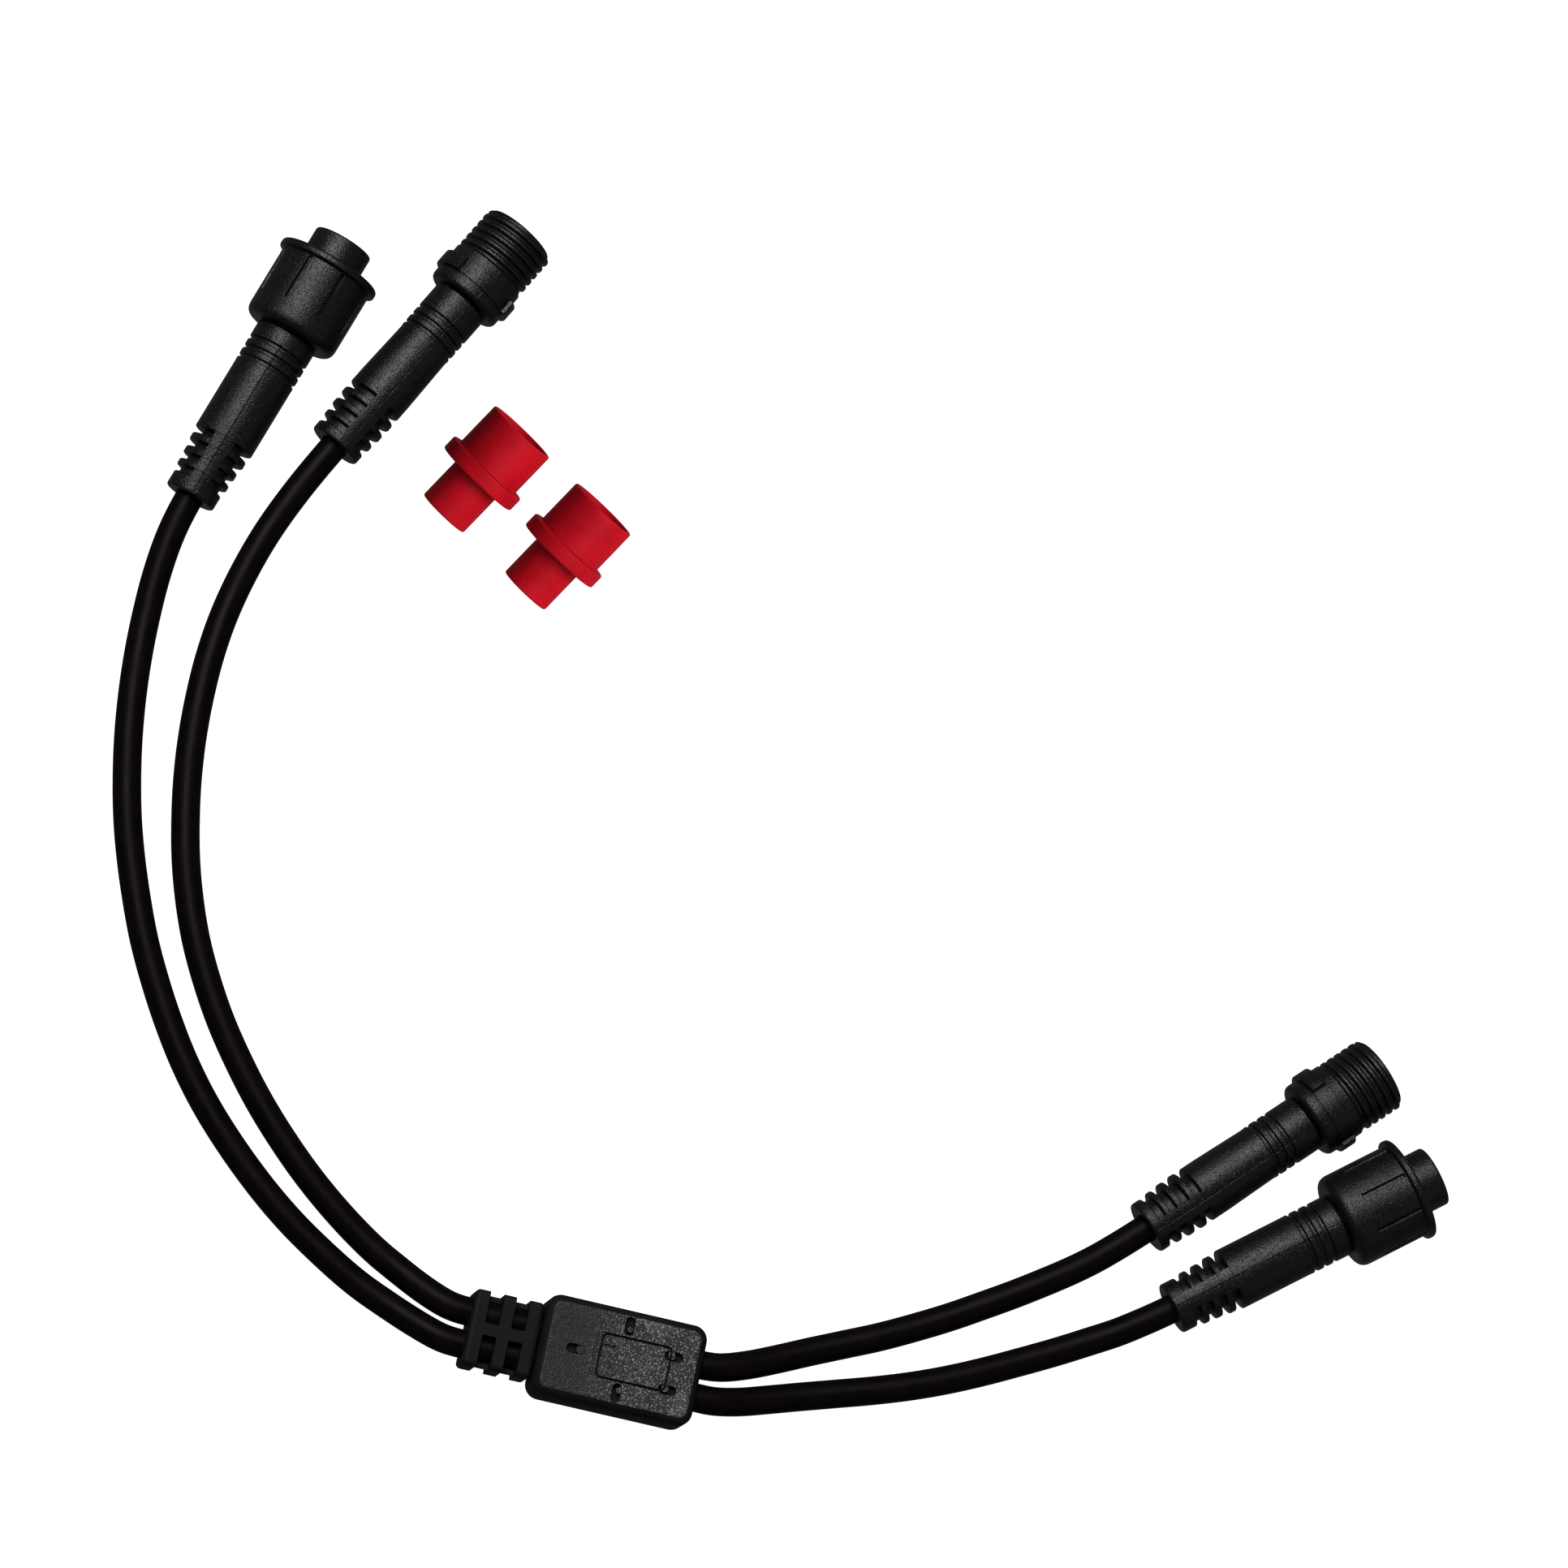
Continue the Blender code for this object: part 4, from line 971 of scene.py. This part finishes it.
def panel_grooves():
    """The groove round the panel on the upper face, two fine lines behind it and a short tick in it."""
    rows = []
    above, below = 0.4, -GROOVE_DEPTH
    for inset, z in ((0, above), (0, below), (PANEL_GROOVE, below), (PANEL_GROOVE, above)):
        ring = outline(PANEL_LENGTH - 2 * inset, PANEL_WIDTH - 2 * inset, PANEL_CORNER_R - inset, 8)
        rows.append([(PANEL_X + x, y, BLOCK_HEIGHT + z) for x, y in ring])
    rear = PANEL_X - PANEL_LENGTH / 2
    tick_place = (rear + 1.75, PANEL_WIDTH / 2 - 2.35, BLOCK_HEIGHT - 0.4)
    tick = slab_mesh("cutter", (2.3, 0.26, 0.8), 0.12, 0, tick_place, 3)
    cutters = [grid_mesh("cutter", rows, True), tick]
    for behind in (0.6, 1.0):
        place = (rear - behind, 0, BLOCK_HEIGHT - FINE_LINE_DEPTH)
        cutters.append(slab_mesh("cutter", (0.14, PANEL_WIDTH - 0.8, 0.6), 0.06, 0, place, 2))
    return cutters


def seam_groove():
    """The fine parting line round the block's sides."""
    rows = []
    for inset, z in ((-0.5, -0.05), (0.07, -0.05), (0.07, 0.05), (-0.5, 0.05)):
        ring = outline(BLOCK_LENGTH - 2 * inset, BLOCK_WIDTH - 2 * inset, BLOCK_CORNER_R - inset, 10)
        rows.append([(x, y, AXIS_Z + z) for x, y in ring])
    return grid_mesh("cutter", rows, True)


def make_strain_relief():
    """A bar of ribs on a spine: windows in both faces and notches in both edges, web between."""
    centre_x = -(BLOCK_LENGTH / 2 + RELIEF_GAP + RELIEF_LENGTH / 2)
    left = centre_x - RELIEF_LENGTH / 2
    low = AXIS_Z - RELIEF_HEIGHT / 2
    size = (RELIEF_LENGTH, RELIEF_WIDTH, RELIEF_HEIGHT)
    mesh = slab_mesh("strain_relief", size, 0.9, 0.8, (centre_x, 0, low), 5, 5)
    cutters = []
    for side in (-1, 1):
        place = (side * CABLE_PITCH / 2, AXIS_Z)
        cutters.append(round_bar(left - 1, left + RELIEF_LENGTH + 1, CABLE_BORE_R, place))
        inner, outer = SPINE_WIDTH / 2, RELIEF_WIDTH / 2 - WINDOW_MARGIN
        window = (WINDOW_LENGTH, outer - inner + 0.5, RELIEF_HEIGHT)
        y = side * (inner + outer + 0.5) / 2
        for x in (left + centre for centre in WINDOW_CENTRES):
            for face in (-1, 1):
                z = AXIS_Z + face * (RELIEF_HEIGHT / 2 + WINDOW_WEB / 2) - RELIEF_HEIGHT / 2
                cutters.append(slab_mesh("cutter", window, 0.25, 0, (x, y, z), 3))
            notch = (WINDOW_LENGTH, 2.0, RELIEF_HEIGHT + 2)
            cutters.append(slab_mesh("cutter", notch, 0.25, 0, (x, side * (outer + 1.0), low - 1), 3))
    ladder = finish_mesh("strain_relief_ladder", soften(carve(mesh, cutters), RELIEF_CHAMFER),
                         "relief_black", "lead", "strain_relief", sharp=30)
    dull_and_shade_sides(ladder)


# ---------------------------------------------------------------- caps


def make_cap(name, cap):
    """A rubber cap lying on the rims of its plug and flange: plug, flange and open cup."""
    height = CAP_PLUG_R * cos(radians(CAP_TILT)) + 0.02
    axes = local_axes(cap["small_end"], height, cap["azimuth"], CAP_TILT)
    profile = ease([
        (0, 0.4, 0), (0, 3.6, 0), (0, CAP_PLUG_R, 0.45), (CAP_PLUG_LENGTH, CAP_PLUG_R, 0.25),
        (CAP_PLUG_LENGTH, CAP_FLANGE_R, 0.45), (CAP_FLANGE_END, CAP_FLANGE_R, 0.45),
        (CAP_FLANGE_END, CAP_CUP_R, 0.3), (CAP_LENGTH, CAP_CUP_R, 0.4), (CAP_LENGTH, CAP_BORE_R, 0.3),
        (CAP_BORE_FLOOR + 0.6, CAP_BORE_R - 0.05, 0), (CAP_BORE_FLOOR, CAP_BORE_R - 0.05, 0.6),
        (CAP_BORE_FLOOR, 0.4, 0)], steps=8)
    mesh = turned_mesh(name, profile, ring_angles(120))
    return finish_mesh(f"{name}_rubber", mesh, "red_rubber", name, f"{name}_seal", axes)


# ---------------------------------------------------------------- stage


def make_stage(caps):
    """A glowing white floor, a pale world and the lights."""
    bpy.ops.mesh.primitive_plane_add(size=FLOOR_SIZE_M, location=(0, 0.1, 0))
    floor = bpy.context.object
    floor.name = "floor"
    n = Nodes("floor_white")
    n.shader.inputs["Roughness"].default_value = 0.7
    n.shader.inputs["Specular IOR Level"].default_value = 0.1
    n.shader.inputs["Emission Color"].default_value = (1, 1, 1, 1)
    n.shader.inputs["Emission Strength"].default_value = FLOOR_GLOW
    n.colours(n.noise(3.0), (FLOOR_PALE,) * 3, (FLOOR_PALE * 1.03,) * 3)
    floor.data.materials.append(n.material)
    floor.visible_glossy = False

    world = bpy.data.worlds.new("studio")
    bpy.context.scene.world = world
    world.use_nodes = True
    background = world.node_tree.nodes["Background"]
    background.inputs["Color"].default_value = (1, 1, 1, 1)
    background.inputs["Strength"].default_value = WORLD_GLOW
    for name, azimuth, height, size, power, for_caps in LIGHTS:
        share_light(area_light(name, azimuth, height, size, power), caps, for_caps)
    bpy.context.scene.view_settings.view_transform = "Standard"
    bpy.context.scene.view_settings.gamma = PICTURE_GAMMA


def area_light(name, azimuth, height, size, power):
    """A soft box LIGHT_DISTANCE_M from the middle of the lead, facing it."""
    data = bpy.data.lights.new(name, "AREA")
    data.shape = "RECTANGLE"
    data.size, data.size_y = size
    data.energy = power
    light = bpy.data.objects.new(name, data)
    bpy.context.collection.objects.link(light)
    a, h = radians(azimuth), radians(height)
    reach = Vector((cos(a) * cos(h), sin(a) * cos(h), sin(h))) * LIGHT_DISTANCE_M
    light.location = Vector(VIEW_TARGET_M) + reach
    light.rotation_euler = (-reach).to_track_quat("-Z", "Y").to_euler()
    return light


def share_light(light, caps, for_caps):
    """A light falls on the two loose caps only, or on everything else."""
    receivers = bpy.data.collections.new(f"{light.name}_receivers")
    for cap in caps:
        receivers.objects.link(cap)
    light.light_linking.receiver_collection = receivers
    for member in receivers.collection_objects:
        member.light_linking.link_state = "INCLUDE" if for_caps else "EXCLUDE"


# ---------------------------------------------------------------- making


def main():
    """Every piece, each cable with what it carries, and the looks of the CAD nodes left showing."""
    make_camera()
    for name, connector in CONNECTORS.items():
        is_nut = connector["kind"] == "nut"
        tilt, z, roll = (NUT_TILT, NUT_TAIL_Z, 0) if is_nut else (THREAD_TILT, THREAD_TAIL_Z, THREAD_ROLL)
        connector["axes"] = local_axes(connector["tail"], z, connector["azimuth"], tilt, roll)
    leads = {name: make_cable(name, connector) for name, connector in CONNECTORS.items()}
    for name, connector in CONNECTORS.items():
        make = make_nut_connector if connector["kind"] == "nut" else make_threaded_connector
        pieces = make(name, connector["axes"])
    make_block()
    make_strain_relief()
    caps = [make_cap(name, cap) for name, cap in CAPS.items()]
    for node, thing in frame["nodes"].items():
        for number in range(len(thing.material_slots)):
            thing.material_slots[number].material = LOOKS[RECORD_SLOTS[node]]
    make_stage(caps)


main()
